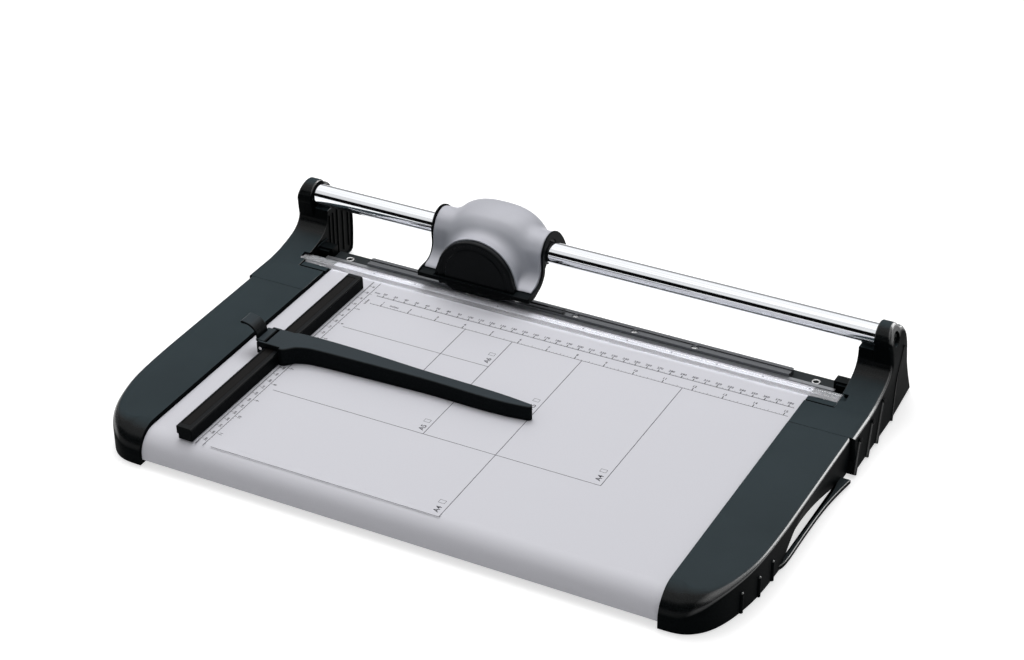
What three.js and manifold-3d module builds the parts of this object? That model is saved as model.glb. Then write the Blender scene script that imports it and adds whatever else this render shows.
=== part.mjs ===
// Rotary paper trimmer: a table between two moulded housings, a round rail behind it,
// and a cutting head that slides on the rail and rolls a round blade along a bed knife.
// Millimetres, +Z up, +X right along the rail, +Y to the back.
import * as THREE from 'three';
import { mergeVertices } from 'three/addons/utils/BufferGeometryUtils.js';
import Module from 'manifold-3d';

const wasm = await Module();
wasm.setup();

// Driving sizes. X is measured from the middle of the machine, Y from the zero line of the
// printed formats, Z from the table top. The last group moves it all onto the desk.
const gap = 0.3;
const over = 1;
const standHeight = 27.5;

// Painted sheet, with its rolled nose and turned-down edges.
const sheet = { half: 215.5, deep: 291.5, thick: 1.6, noseR: 18, apron: 21.5, skirt: 14 };

// The cutting line: the bed knife's front face is where everything in Y starts from.
// Along X the bed's pieces end short of the towers, or a little past them.
const knife = { front: -15.3, thick: 3.8, short: 10, deep: 8, relief: 1 };
const slotWide = 2.7;
const beam = { deep: 15.7, drop: 3.4, thick: 2.4, short: 13, legIn: 1.5, high: 18.8 };
const profile = { deep: 11, high: 5.8, short: 48.8, behind: 14.4, seat: 1.3 };
const strip = { behind: 4.2, deep: 12, high: 4.1, lift: 1, past: 2, shift: -3 };
const endBlock = { high: 10.9, step: 3, stepIn: 2.4, front: 8.6, deep: 9, stepFront: 11 };

// Moulded housings: the front cap, the grip in its wall, the rear housing and its tower.
const deck = { top: 3.8, bottom: -26, wall: 3.2, roll: 22, edge: 2.4 };
const cap = { proud: 2, stepIn: 6.2, sideWall: 12.3, noseWall: 15 };
const grip = { depth: 8.4, fade: 27 };
const gripBar = { high: 4, wide: 12.9, reach: 7.6, edge: 0.6 };
const rib = { r: 1.7, sink: 0.7, below: 7 };
const housing = { wide: 56.7, ahead: 59.7, pocket: 24.2, pocketAhead: 26.7, stripFloor: -0.4 };
const well = { floor: -6.1, behind: 0.7 };
const tower = { before: 8.1, behind: 17.9, back: 40.4, wallBack: 31.4, shoulder: 10 };
const shell = { inner: 6, wall: 3.6, capWide: 19.8, lean: 9.5, leanFrom: 8 };
const bigRib = { r: 2.2, sink: 0.7 };
const cover = { front: 34.6, back: 30.3, low: 0.8, high: 0.9, deep: 2.4, plate: 1 };
const coverRib = { thick: 1.2, low: 7, high: 7, proud: 0.2 };

// Round rail with an insert and a screw in each end.
const rail = { y: 14.6, z: 41.5, r: 9, wall: 1.6, seat: 6.2, capWall: 3.5 };
const plug = { long: 13, in: 1 };
const railScrew = { r: 1.6, long: 9, headR: 4.6, head: 2.6, socket: 3.4, hole: 2.4, mouth: 6.2 };

const foot = { r: 8.5, high: 2.9, boss: 10, chamfer: 1, inX: 29.3, inY: 29.5, rearX: 16, rearY: 13.4 };

// Guide bar with a ledge on its left for the stop, and a recess for the inlay strip.
const guide = { inset: 40.7, wide: 13.7, inFront: 10.7, inRear: 27.4, top: 11.5 };
const ledge = { high: 4.6, in: 1.5 };
const guideEdge = { small: 0.4, big: 2.2 };
const inlay = { wide: 8, from: 1.7, end: 5, deep: 0.8, below: 0.15 };
const guideScrew = { r: 1.2, hole: 1.5, headR: 3, head: 1.8, up: 6.5, first: 22, last: 14, inX: 6.7 };

// Stop arm, its saddle over the guide bar and its locking lever.
const arm = { ahead: 162.7, deep: 29.5, long: 213, top: 16, tipTop: 13, under: 0.5, roof: 3 };
const saddle = { in: 2, deep: 24, left: 12.6, right: 2.3, over: 0.4, lug: 1.8, lugWide: 8.1 };
const lever = { left: 22.7, right: 12.6, low: 1.2, side: 2.4, tabOut: 14.6, tabHigh: 12.2, tabIn: 4 };
const pivot = { x: 17.7, z: 9.5, r: 1.5, clear: 0.25, pin: 0.05 };

// Cutting head, at rest left of the middle.
const head = { x: -82.8, half: 52, flange: 2.2, cover: 2, front: 9, rear: 29.6, low: 12.2, high: 58.4 };
const bush = { wall: 1.8, run: 0.2, long: 14, in: 0.5 };
const hood = { high: 52, beforeRear: 1.8 };
const panel = { z: 18.6, r: 35.5, before: 1.7, thick: 4.6, groove: 27.7, grooveR: 0.9, flat: 9 };
const guard = { low: 4.6, high: 12, half: 35, flatHalf: 21, in: 1.2 };
const blade = { z: 21, r: 22.5, before: 0.3, thick: 0.8, bevel: 1.2, bore: 4.2 };
const hub = { r: 9, small: 6, flange: 1.6, cone: 1.6, nose: 0.4, bore: 1.6, axle: 1.3, boss: 9 };

// Small screws of the bed, and the springs under the clamp strip.
const bedScrew = { r: 1.3, hole: 1.6, headR: 3, headHigh: 1.2, deep: 4, pitch: 53, in: 88.5 };
const plateScrew = { in: 15.2, y: 5.6, headR: 3.7, headHigh: 1.6, deep: 6 };
const bedScrewCount = 5;
const spring = { x: 11, y: 10.7, coil: 2.3, wire: 0.35, long: 13.7 };
const springTurns = 5;

// Places worked out from the sizes above.
const inner = sheet.half + gap;
const guideEdgeX = guide.inset - sheet.half;
const housingOuter = inner + housing.wide;
const capOuter = housingOuter - cap.stepIn;
const towerIn = inner + housing.pocket;
const capIn = housingOuter - shell.capWide;
const wallOut = towerIn + shell.inner;
const knifeHalf = towerIn - knife.short;
const beamHalf = towerIn - beam.short;
const profileHalf = towerIn - profile.short;
const stripHalf = towerIn + strip.past;
const sheetRear = knife.front - slotWide;
const sheetFront = sheetRear - sheet.deep;
const frontY = sheetFront - cap.proud;
const rearY = rail.y + tower.back;
const seam = knife.front - housing.ahead;
const pocketFront = knife.front - housing.pocketAhead;
const knifeRear = knife.front + knife.thick;
const beamFront = knifeRear + gap;
const profileRear = knife.front + profile.behind;
const profileFront = profileRear - profile.deep;
const profileLow = gap / 3 - beam.drop;
const bedScrewY = profileRear - profile.deep * 0.66;
const stripRear = knife.front - strip.behind;
const stripFront = stripRear - strip.deep;
const towerFace = rail.y - tower.before;
const towerBack = rail.y + tower.behind;
const shoulder = rail.z - tower.shoulder;
const capTop = rail.z + 2 * rail.r;
const capFace = housingOuter - shell.lean * ((rail.z - shell.leanFrom) / (capTop - shell.leanFrom));
const railEnd = capFace - rail.seat;
const plateY = beamFront + plateScrew.y;
const plateX = beamHalf - plateScrew.in;
const wellRear = beamFront + beam.deep + well.behind;
const bladeFront = knife.front - blade.before - blade.thick;
const bladeBack = bladeFront + blade.thick;
const panelBack = knife.front - panel.before;
const headRear = rail.y + head.rear;
const hoodLong = headRear - hood.beforeRear - panelBack;
const guideLeft = guideEdgeX - guide.wide;
const guideFront = sheetFront + guide.inFront;
const guideRear = sheetRear - guide.inRear;
const guideScrewYs = [guideFront + guideScrew.first, guideRear - guideScrew.last];
const armFront = knife.front - arm.ahead;
const saddleFront = armFront + saddle.in;
const springX = towerIn - gap - spring.x - spring.coil / 2;
const springY = stripFront + spring.y / 2;
const footX = capOuter - foot.inX;
const footY = frontY + foot.inY;
const rearFootX = housingOuter - foot.rearX;
const rearFootY = rail.y + foot.rearY;
const pivotX = guideEdgeX - pivot.x;

// Colours read off the photograph, one per material.
const looks = {
  steelSheet: [0xd2d2d8, 0.45, 0.1],
  slate: [0x33393b, 0.55, 0],
  black: [0x121416, 0.4, 0],
  chrome: [0xdfe3e8, 0.08, 1],
  silverPlastic: [0x9a9ca4, 0.42, 0.2],
  steel: [0xb4b6b8, 0.3, 0.9],
  aluminium: [0x8c9298, 0.35, 0.8],
  clear: [0xe9eaf0, 0.15, 0],
  rubber: [0x1b1c1d, 0.9, 0],
};

// Places along a front cap, as shares of its length from the seam to the front.
const cornerShare = 0.5285;
const gripShares = [0.076, 0.573];
const gripBarEndShares = [0.065, 0.588];

// Outlines as shares of the two sizes that they follow.
const capCornerShares = [
  [0, 0], [0.267, 0.002], [0.376, 0.012], [0.459, 0.033], [0.576, 0.074], [0.669, 0.125],
  [0.749, 0.193], [0.82, 0.277], [0.879, 0.376], [0.927, 0.474], [0.96, 0.582], [0.98, 0.704],
  [0.992, 0.848], [1, 1],
];
const gripBarShares = [
  [1, 1], [0.82, 0.874], [0.68, 0.744], [0.6, 0.599], [0.57, 0.437], [0.57, 0.275],
  [0.57, 0.113], [0.51, 0.04], [0.38, 0], [0, 0], [0.22, 0.065], [0.27, 0.194], [0.27, 0.356],
  [0.33, 0.591], [0.45, 0.801], [0.36, 0.914], [0.23, 0.974], [0.08, 1],
];
const towerFrontShares = [
  [0, 0], [0.289, 0.054], [0.454, 0.112], [0.649, 0.199], [0.784, 0.282], [0.897, 0.412],
  [0.965, 0.578], [0.994, 0.765], [1, 1],
];
const towerRearShares = [
  [0, 1], [0.2, 0.878], [0.378, 0.748], [0.511, 0.626], [0.689, 0.4], [0.849, 0.191],
  [0.938, 0.087], [1, 0],
];
const towerHollowShares = [
  [0, 0], [0, 0.488], [0.256, 0.488], [0.372, 0.51], [0.504, 0.565], [0.587, 0.627],
  [0.62, 0.69], [0.674, 0.783], [0.678, 0.878], [0.826, 0.878], [0.86, 0.783], [0.909, 0.61],
  [0.942, 0.45], [0.975, 0.283], [1, 0],
];
const capRibShares = [[0.881, 0.38], [0.958, 0.58], [0.985, 0.77]];
const towerRibShares = [[0.069, 0.38], [0.231, 0.4], [0.423, 0.47], [0.577, 0.556], [0.885, 0.52]];
const innerWallShares = [
  [0.57, 1], [0.86, 0.93], [1, 0.76], [1, 0.113], [0.975, 0.045], [0.9, 0.01], [0.79, 0],
];
const recessShares = [
  [0.402, 0], [0.402, 0.548], [0.123, 0.548], [0.153, 0.595], [0.255, 0.638], [0.344, 0.71],
  [0.397, 0.8], [0.42, 0.9], [0.425, 1], [0.797, 1], [0.934, 0.928], [0.995, 0.765],
  [0.995, 0.108], [0.98, 0.041], [0.95, 0.009], [0.905, 0],
];
const coverRibShares = [0.47, 0.56, 0.66, 0.79, 0.92];
const profileShares = [
  [0.08, 0], [0.08, 0.586], [0, 0.586], [0, 1], [0.18, 1], [0.22, 0.862], [0.59, 0.862],
  [0.63, 1], [0.85, 1], [0.88, 0.914], [1, 0.914], [1, 0],
];
const stripShares = [
  [0, 0], [0, 0.88], [0.04, 1], [0.17, 1], [0.27, 0.71], [0.72, 0.61], [0.78, 0.37], [1, 0.24],
  [1, 0],
];
const armShares = [
  [-0.004, 0], [0.013, 0], [0.035, 0.146], [0.047, 0.237], [0.07, 0.319], [0.095, 0.376],
  [0.124, 0.4], [0.286, 0.461], [0.556, 0.542], [0.983, 0.631], [0.996, 0.664], [1, 0.732],
  [0.996, 0.807], [0.983, 0.827], [0.526, 0.932], [0.244, 1], [0.058, 0.976], [0.011, 0.936],
  [-0.004, 0.895],
];
const armHollowShares = [
  [0.021, 0.203], [0.045, 0.353], [0.094, 0.475], [0.286, 0.549], [0.554, 0.631],
  [0.967, 0.705], [0.967, 0.746], [0.526, 0.841], [0.244, 0.908], [0.058, 0.885],
  [0.021, 0.854],
];
const leverBackShares = [
  [0.2, 0.14], [0.4, 0], [1, 0], [1, 0.22], [0.79, 0.22], [0.79, 0.95], [0.73, 1], [0, 1],
  [0, 0.88], [0.16, 0.83],
];
const leverTabShares = [
  [0.88, 0], [0.84, 0.31], [0.73, 0.59], [0.54, 0.77], [0.31, 0.85], [0.04, 0.87], [0, 0.93],
  [0.04, 1], [0.34, 0.99], [0.61, 0.89], [0.83, 0.66], [0.95, 0.37], [1, 0.01],
];
const flangeShares = [
  [0, 0.009], [0, 0.095], [0.025, 0.117], [0.136, 0.143], [0.209, 0.147], [0.267, 0.173],
  [0.315, 0.221], [0.349, 0.299], [0.365, 0.407], [0.358, 0.591], [0.359, 0.732],
  [0.393, 0.831], [0.428, 0.905], [0.48, 0.965], [0.545, 0.996], [0.618, 1], [0.709, 0.957],
  [0.8, 0.87], [0.874, 0.758], [0.939, 0.628], [1, 0.463],
];
const skirtShares = [
  [0.485, 0.463], [0.436, 0.394], [0.431, 0.312], [0.4, 0.216], [0.333, 0.113], [0.225, 0.043],
  [0.145, 0],
];
const coverShares = [
  [0.107, 0.113], [0.15, 0.16], [0.216, 0.186], [0.276, 0.238], [0.326, 0.329],
  [0.346, 0.429], [0.34, 0.591], [0.355, 0.701], [0.387, 0.784], [0.434, 0.857],
  [0.492, 0.909], [0.559, 0.939], [0.632, 0.939], [0.705, 0.9], [0.784, 0.818],
  [0.854, 0.71], [0.915, 0.58], [0.959, 0.468],
];
const coreFrontShares = [[0.165, 0.013], [0.171, 0.113]];
const toeShares = [[0, 0.009], [0, 0.082], [0.025, 0.102], [0.18, 0.102], [0.18, 0.004]];
// The hood's rings: height, place from front to back, and how far it has turned from a circle
// round the front panel into the squarer, narrower dome.
const hoodShares = [
  [0.742, 0, 0], [0.735, 0.024, 0], [0.712, 0.1, 0], [0.735, 0.185, 0.1], [0.79, 0.249, 0.3],
  [0.862, 0.32, 0.55], [0.923, 0.396, 0.8], [0.966, 0.488, 0.95], [0.99, 0.598, 1],
  [1, 0.724, 1], [0.985, 0.808, 1], [0.93, 0.894, 1], [0.8, 0.967, 1], [0.6, 1, 1],
];
const domeNarrowShare = 0.07;
const domeSquareShare = 0.23;
const screwHeadShares = [[1, 0], [1, 0.6], [0.8, 1], [0.35, 1], [0.35, 0.5], [0, 0.5]];

// Points from shares of the stretch u0 to u1 and of the stretch v0 to v1.
function within(table, u0, u1, v0, v1) {
  return table.map(([u, v]) => [u0 + (u1 - u0) * u, v0 + (v1 - v0) * v]);
}

// A closed outline taken in by the same distance all round.
function takenIn(points, distance) {
  const flat = new wasm.CrossSection([points], 'NonZero');
  return flat.offset(-distance, 'Miter', 2).toPolygons()[0];
}

// A closed geometry turned into a solid for cutting and joining.
function solid(geometry) {
  const bare = geometry.index ? geometry.toNonIndexed() : geometry.clone();
  for (const name of Object.keys(bare.attributes)) {
    if (name !== 'position') bare.deleteAttribute(name);
  }
  const merged = mergeVertices(bare, 1e-4);
  const vertProperties = new Float32Array(merged.attributes.position.array);
  const kept = [];
  const index = merged.index.array;
  for (let i = 0; i < index.length; i += 3) {
    const [a, b, c] = [index[i], index[i + 1], index[i + 2]];
    if (a !== b && b !== c && c !== a) kept.push(a, b, c);
  }
  const triVerts = new Uint32Array(volume(vertProperties, kept) < 0 ? flipped(kept) : kept);
  return new wasm.Manifold(new wasm.Mesh({ numProp: 3, vertProperties, triVerts }));
}

function volume(p, index) {
  let sum = 0;
  for (let i = 0; i < index.length; i += 3) {
    const [a, b, c] = [index[i] * 3, index[i + 1] * 3, index[i + 2] * 3];
    sum += p[a] * (p[b + 1] * p[c + 2] - p[b + 2] * p[c + 1])
      - p[a + 1] * (p[b] * p[c + 2] - p[b + 2] * p[c])
      + p[a + 2] * (p[b] * p[c + 1] - p[b + 1] * p[c]);
  }
  return sum;
}

function flipped(index) {
  const turnedOver = [];
  for (let i = 0; i < index.length; i += 3) {
    turnedOver.push(index[i], index[i + 2], index[i + 1]);
  }
  return turnedOver;
}

function toGeometry(body) {
  const mesh = body.getMesh();
  const geometry = new THREE.BufferGeometry();
  geometry.setAttribute('position', new THREE.BufferAttribute(mesh.vertProperties.slice(), 3));
  geometry.setIndex(new THREE.BufferAttribute(mesh.triVerts.slice(), 1));
  const flat = geometry.toNonIndexed();
  flat.computeVertexNormals();
  return flat;
}

// A flat outline given as [across, up] pairs, pushed along one axis from one value to another.
function prism(axis, points, from, to, round = 0) {
  const outline = points.map(([u, v]) => new THREE.Vector2(u, v));
  if (THREE.ShapeUtils.isClockWise(outline)) outline.reverse();
  const geometry = new THREE.ExtrudeGeometry(new THREE.Shape(outline), {
    depth: to - from - 2 * round,
    bevelEnabled: round > 0,
    bevelThickness: round,
    bevelSize: round,
    bevelOffset: -round,
    bevelSegments: 2,
  });
  geometry.translate(0, 0, round);
  const x = new THREE.Vector3(1, 0, 0);
  const y = new THREE.Vector3(0, 1, 0);
  const z = new THREE.Vector3(0, 0, 1);
  const turn = new THREE.Matrix4();
  if (axis === 'x') turn.makeBasis(y, z, x).setPosition(from, 0, 0);
  if (axis === 'y') turn.makeBasis(x, z, y.clone().negate()).setPosition(0, to, 0);
  if (axis === 'z') turn.setPosition(0, 0, from);
  geometry.applyMatrix4(turn);
  return solid(geometry);
}

function box(x0, x1, y0, y1, z0, z1) {
  const geometry = new THREE.BoxGeometry(Math.abs(x1 - x0), y1 - y0, z1 - z0);
  geometry.translate((x0 + x1) / 2, (y0 + y1) / 2, (z0 + z1) / 2);
  return solid(geometry);
}

// A ring or a disc: pairs of [radius, along], turned about an axis through (a, b).
// For axis x the pair (a, b) is (y, z), for axis y it is (x, z), for axis z it is (x, y).
function turned(axis, pairs, a, b, sides = 32) {
  const points = pairs.map(([r, along]) => new THREE.Vector2(r, along));
  if (pairs[0][0] > 0) points.push(points[0].clone());
  const geometry = new THREE.LatheGeometry(points, sides);
  if (axis === 'x') geometry.rotateZ(-Math.PI / 2).translate(0, a, b);
  if (axis === 'y') geometry.translate(a, 0, b);
  if (axis === 'z') geometry.rotateX(Math.PI / 2).translate(a, b, 0);
  return solid(geometry);
}

function rod(axis, r, from, to, a, b, sides = 32) {
  return turned(axis, [[0, from], [r, from], [r, to], [0, to]], a, b, sides);
}

function ring(axis, rIn, rOut, from, to, a, b, sides = 32) {
  return turned(axis, [[rIn, from], [rOut, from], [rOut, to], [rIn, to]], a, b, sides);
}

function arc(cy, cz, r, fromDeg, toDeg, steps) {
  return Array.from({ length: steps + 1 }, (_, i) => {
    const angle = THREE.MathUtils.degToRad(fromDeg + ((toDeg - fromDeg) * i) / steps);
    return [cy + r * Math.cos(angle), cz + r * Math.sin(angle)];
  });
}

// A closed body through rings of the same number of points.
function loft(rings) {
  const n = rings[0].length;
  const index = [];
  for (let k = 0; k < rings.length - 1; k += 1) {
    for (let j = 0; j < n; j += 1) {
      const [a, b] = [k * n + j, k * n + ((j + 1) % n)];
      index.push(a, b, a + n, b, b + n, a + n);
    }
  }
  const end = (rings.length - 1) * n;
  for (let j = 1; j < n - 1; j += 1) index.push(0, j + 1, j, end, end + j, end + j + 1);
  const geometry = new THREE.BufferGeometry();
  geometry.setAttribute('position', new THREE.Float32BufferAttribute(rings.flat(2), 3));
  geometry.setIndex(index);
  return solid(geometry);
}

// An open curve moved to its right-hand side by a distance.
function offsetCurve(points, distance) {
  return points.map(([u, v], i) => {
    const [pu, pv] = points[Math.max(i - 1, 0)];
    const [nu, nv] = points[Math.min(i + 1, points.length - 1)];
    const [du, dv] = [nu - pu, nv - pv];
    const size = Math.hypot(du, dv);
    return [u + (dv / size) * distance, v - (du / size) * distance];
  });
}

function piece(name, look, body) {
  const [color, roughness, metalness] = looks[look];
  const material = new THREE.MeshStandardMaterial({ color, roughness, metalness });
  const mesh = new THREE.Mesh(toGeometry(body), material);
  mesh.name = name;
  return mesh;
}

// Painted sheet with a rolled front edge, an apron and turned-down sides and back.
function baseTable() {
  const { half, thick, noseR, apron, skirt } = sheet;
  const front = sheetFront;
  const outside = [[sheetRear, -skirt], [sheetRear, 0],
    ...arc(front + noseR, -noseR, noseR, 90, 180, 10), [front, -apron]];
  const inside = [[front + thick, -apron],
    ...arc(front + noseR, -noseR, noseR - thick, 180, 90, 10),
    [sheetRear - thick, -thick], [sheetRear - thick, -skirt]];
  let body = prism('x', [...outside, ...inside], -half, half);
  for (const side of [-1, 1]) {
    body = body.add(box(side * (half - thick / 4), side * (half - thick), front + noseR,
      sheetRear - thick / 2, thick - skirt, -thick / 2));
  }
  for (const y of guideScrewYs) {
    body = body.subtract(rod('z', guideScrew.hole, -thick - over, over,
      guideEdgeX - guideScrew.inX, y, 14));
  }
  return body;
}

// A place along the front cap: nothing at the seam, one at its front.
function alongCap(share) {
  return seam + (frontY - seam) * share;
}

// The right front cap: deck, rolled front, scooped grip with a slot and a bar at its foot.
function frontCap() {
  const cornerEnd = alongCap(cornerShare);
  const corner = within(capCornerShares, inner, capOuter, frontY, cornerEnd);
  const outline = [[inner, seam - gap], ...corner, [capOuter, seam - gap]];
  const slab = prism('z', outline, deck.bottom - 2 * deck.edge, deck.top, deck.edge);
  const side = [[seam, deck.bottom], [seam, deck.top + over],
    [frontY + deck.roll, deck.top + over],
    ...arc(frontY + deck.roll, deck.top - deck.roll, deck.roll, 90, 180, 9),
    [frontY, deck.bottom]];
  let body = slab.intersect(prism('x', side, inner - over, capOuter + over));
  const hollow = within(capCornerShares, inner + deck.wall, capOuter - cap.sideWall,
    frontY + cap.noseWall, cornerEnd);
  body = body.subtract(prism('z', [[inner + deck.wall, seam - deck.wall], ...hollow,
    [capOuter - cap.sideWall, seam - deck.wall]],
  deck.bottom - over, deck.top - deck.wall));
  body = body.add(rod('z', foot.boss, deck.bottom + over, deck.top - deck.wall / 2,
    footX, footY, 20));
  body = body.subtract(footSeat(footX, footY)).subtract(gripScoop()).add(gripLip());
  for (const [x, y] of within(capRibShares, inner, capOuter, frontY, cornerEnd)) {
    body = body.add(rod('z', rib.r, deck.bottom, deck.top - rib.below, x, y, 10));
  }
  return body;
}

// Round seat for a rubber foot, cut from below.
function footSeat(x, y) {
  return rod('z', foot.r + gap, deck.bottom - over, foot.high - standHeight + gap, x, y, 24);
}

// A leaning cylinder that hollows the outer wall between the two ends of the grip.
function gripScoop() {
  const [from, to] = gripShares.map(alongCap);
  const middle = (from + to) / 2;
  const halfLong = (from - to) / 2;
  const radius = (halfLong ** 2 + grip.depth ** 2) / (2 * grip.depth);
  const geometry = new THREE.CylinderGeometry(radius, radius, 4 * grip.fade, 200);
  geometry.rotateX(Math.PI / 2);
  geometry.applyMatrix4(new THREE.Matrix4().makeShear(0, 0, 0, 0, grip.depth / grip.fade, 0));
  geometry.translate(capOuter - grip.depth + radius, middle, deck.bottom);
  return solid(geometry);
}

function gripLip() {
  const tip = capOuter + gripBar.reach;
  const [rear, front] = gripBarEndShares.map(alongCap);
  const points = within(gripBarShares, tip - gripBar.wide, tip, front, rear);
  return prism('z', points, deck.bottom, deck.bottom + gripBar.high, gripBar.edge);
}

// The right rear housing: deck, pockets for the bed's end, inner wall, and the tower with its
// round cap, which leans inwards on its outer side.
function rearHousing() {
  const front = within(towerFrontShares, pocketFront, towerFace, deck.top, shoulder);
  const rear = within(towerRearShares, towerBack, rearY, deck.bottom, shoulder);
  const wallRear = within(innerWallShares, rail.y, rail.y + tower.wallBack, deck.bottom, shoulder);
  const start = [[seam, deck.bottom], [seam, deck.top], ...front];
  let body = prism('x', [...start, ...rear], wallOut, housingOuter, rib.r);
  body = body.add(prism('x', [...start, ...wallRear], towerIn, wallOut + deck.wall));
  const round = [front[front.length - 2],
    ...arc(rail.y, rail.z, rail.r + rail.capWall, 205, -25, 16), rear[1]];
  body = body.add(prism('x', round, capIn, housingOuter, rib.r));
  const join = towerIn + deck.wall;
  const wellFront = knife.front - gap;
  body = body.add(box(inner, join, seam, pocketFront, deck.bottom, deck.top));
  body = body.add(box(inner, join, pocketFront - over, wellFront, deck.bottom,
    housing.stripFloor));
  body = body.add(box(inner, join, wellFront - over, wellRear, deck.bottom, well.floor));
  body = body.subtract(prism('x', within(towerHollowShares, seam + shell.wall,
    rearY - shell.wall, deck.bottom - over, shoulder - over),
  wallOut + deck.wall, housingOuter - shell.wall));
  body = body.subtract(prism('y', [[housingOuter, shell.leanFrom],
    [housingOuter + over, shell.leanFrom], [housingOuter + over, capTop],
    [housingOuter - shell.lean, capTop]], seam - over, rearY + over));
  body = body.add(rod('z', foot.boss - over, deck.bottom + over, shoulder - 2 * shell.wall,
    rearFootX, rearFootY, 20).intersect(box(wallOut, housingOuter - shell.wall / 2,
    rail.y - tower.before, rearY - tower.back / 4, deck.bottom, shoulder)));
  body = body.subtract(rod('x', rail.r + gap, towerIn, railEnd + gap, rail.y, rail.z, 40));
  body = body.subtract(rod('x', railScrew.hole, railEnd, housingOuter + over,
    rail.y, rail.z, 16));
  body = body.subtract(rod('x', railScrew.mouth, capFace - railScrew.socket,
    housingOuter + over, rail.y, rail.z, 28));
  body = body.subtract(box(0, knifeHalf + gap, knife.front - gap, knifeRear + gap,
    -knife.deep - gap, 0));
  body = body.subtract(box(0, stripHalf - strip.shift + gap, stripFront - gap, stripRear + gap,
    housing.stripFloor, housing.stripFloor + strip.high + 2 * strip.lift + gap));
  body = body.subtract(rod('z', spring.coil + 2 * spring.wire + gap,
    strip.lift - spring.long - 2 * gap, 0, springX, springY, 20));
  body = body.subtract(footSeat(rearFootX, rearFootY)).subtract(coverRecess());
  for (const [y, z] of within(towerRibShares, seam, rearY, deck.bottom, shoulder)) {
    body = body.add(rod('z', bigRib.r, deck.bottom, z, housingOuter - bigRib.sink, y, 12));
  }
  return body;
}

// Outline of the recess in the inner wall.
function coverPoints() {
  return within(recessShares, rail.y - cover.front, rail.y + cover.back,
    deck.bottom + cover.low, shoulder - cover.high);
}

function coverRecess() {
  return prism('x', coverPoints(), towerIn - over, towerIn + cover.deep);
}

// Thin cover over the inner wall of a tower, with upright ribs.
function sideCover() {
  const back = towerIn + cover.deep - gap;
  let body = prism('x', takenIn(coverPoints(), gap), back - cover.plate, back);
  const [y0, y1] = [rail.y - cover.front, rail.y + cover.back];
  for (const share of coverRibShares) {
    const y = y0 + (y1 - y0) * share;
    body = body.add(box(towerIn + coverRib.proud, back - cover.plate / 2, y,
      y + coverRib.thick, deck.bottom + coverRib.low, shoulder - coverRib.high));
  }
  return body;
}

function railTube() {
  return ring('x', rail.r - rail.wall, rail.r, -railEnd, railEnd, rail.y, rail.z, 36);
}

function railPlug() {
  const end = railEnd - plug.in;
  return ring('x', railScrew.r + gap, rail.r - rail.wall - gap, end - plug.long, end,
    rail.y, rail.z, 16);
}

function endScrew() {
  const face = capFace - railScrew.socket + gap;
  const start = face - railScrew.socket - railScrew.long;
  const top = within(screwHeadShares, 0, railScrew.headR, face, face + railScrew.head);
  return turned('x', [[0, start], [railScrew.r, start], [railScrew.r, face], ...top],
    rail.y, rail.z, 14);
}

function rubberFoot(x, y) {
  const low = -standHeight;
  return turned('z', [[0, low], [foot.r - foot.chamfer, low], [foot.r, low + foot.chamfer],
    [foot.r, low + foot.high], [0, low + foot.high]], x, y, 20);
}

const bedScrewXs = Array.from({ length: bedScrewCount }, (_, i) =>
  bedScrew.in - profileHalf + i * bedScrew.pitch);

// Dark channel that carries the knife and the ruler profile, with a longer top plate.
function bedBeam() {
  const { deep, drop, thick, legIn, high } = beam;
  const rear = beamFront + deep;
  const leg = sheet.half - legIn;
  let body = box(-beamHalf, beamHalf, beamFront, rear, -drop - thick, -drop);
  for (const y of [beamFront, rear - thick]) {
    body = body.add(box(-leg, leg, y, y + thick, -high, -drop - thick / 2));
  }
  const holes = [[-plateX, plateY], [plateX, plateY],
    ...bedScrewXs.map((x) => [x, bedScrewY])];
  for (const [x, y] of holes) {
    body = body.subtract(rod('z', bedScrew.hole, -drop - 2 * thick, over - drop, x, y, 12));
  }
  return body;
}

function bedKnife() {
  const { front, deep, relief } = knife;
  return prism('x', [[front, 0], [knifeRear, 0], [knifeRear, -deep], [front + relief, -deep],
    [front, 2 * relief - deep]], -knifeHalf, knifeHalf);
}

// Flat extrusion on the channel: front lip, channel, land and rear edge.
function bedProfile() {
  const top = profileLow + profile.high;
  const points = within(profileShares, profileFront, profileRear, profileLow, top);
  let body = prism('x', points, -profileHalf, profileHalf);
  for (const x of bedScrewXs) {
    body = body.subtract(rod('z', bedScrew.headR + gap, profile.seat - gap, top + over,
      x, bedScrewY, 20));
    body = body.subtract(rod('z', bedScrew.hole, profileLow - over, top, x, bedScrewY, 14));
  }
  return body;
}

function smallScrew(x, y, seat, headR, headHigh, deep) {
  const top = within(screwHeadShares, 0, headR, seat, seat + headHigh);
  return turned('z', [[0, seat - deep], [bedScrew.r, seat - deep], [bedScrew.r, seat], ...top],
    x, y, 12);
}

// Stepped black block that closes each end of the knife bed.
function blackBlock() {
  const x0 = beamHalf + gap;
  const x1 = towerIn - gap;
  const low = well.floor + gap;
  const body = box(x0, x1, -endBlock.front, endBlock.deep - endBlock.front, low,
    low + endBlock.high);
  return body.add(box(x0 + endBlock.stepIn, x1, -endBlock.stepFront, -endBlock.front + over,
    gap, gap + endBlock.step));
}

function clampStrip() {
  const points = within(stripShares, stripFront, stripRear, strip.lift,
    strip.lift + strip.high);
  return prism('x', points, strip.shift - stripHalf, strip.shift + stripHalf);
}

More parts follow.
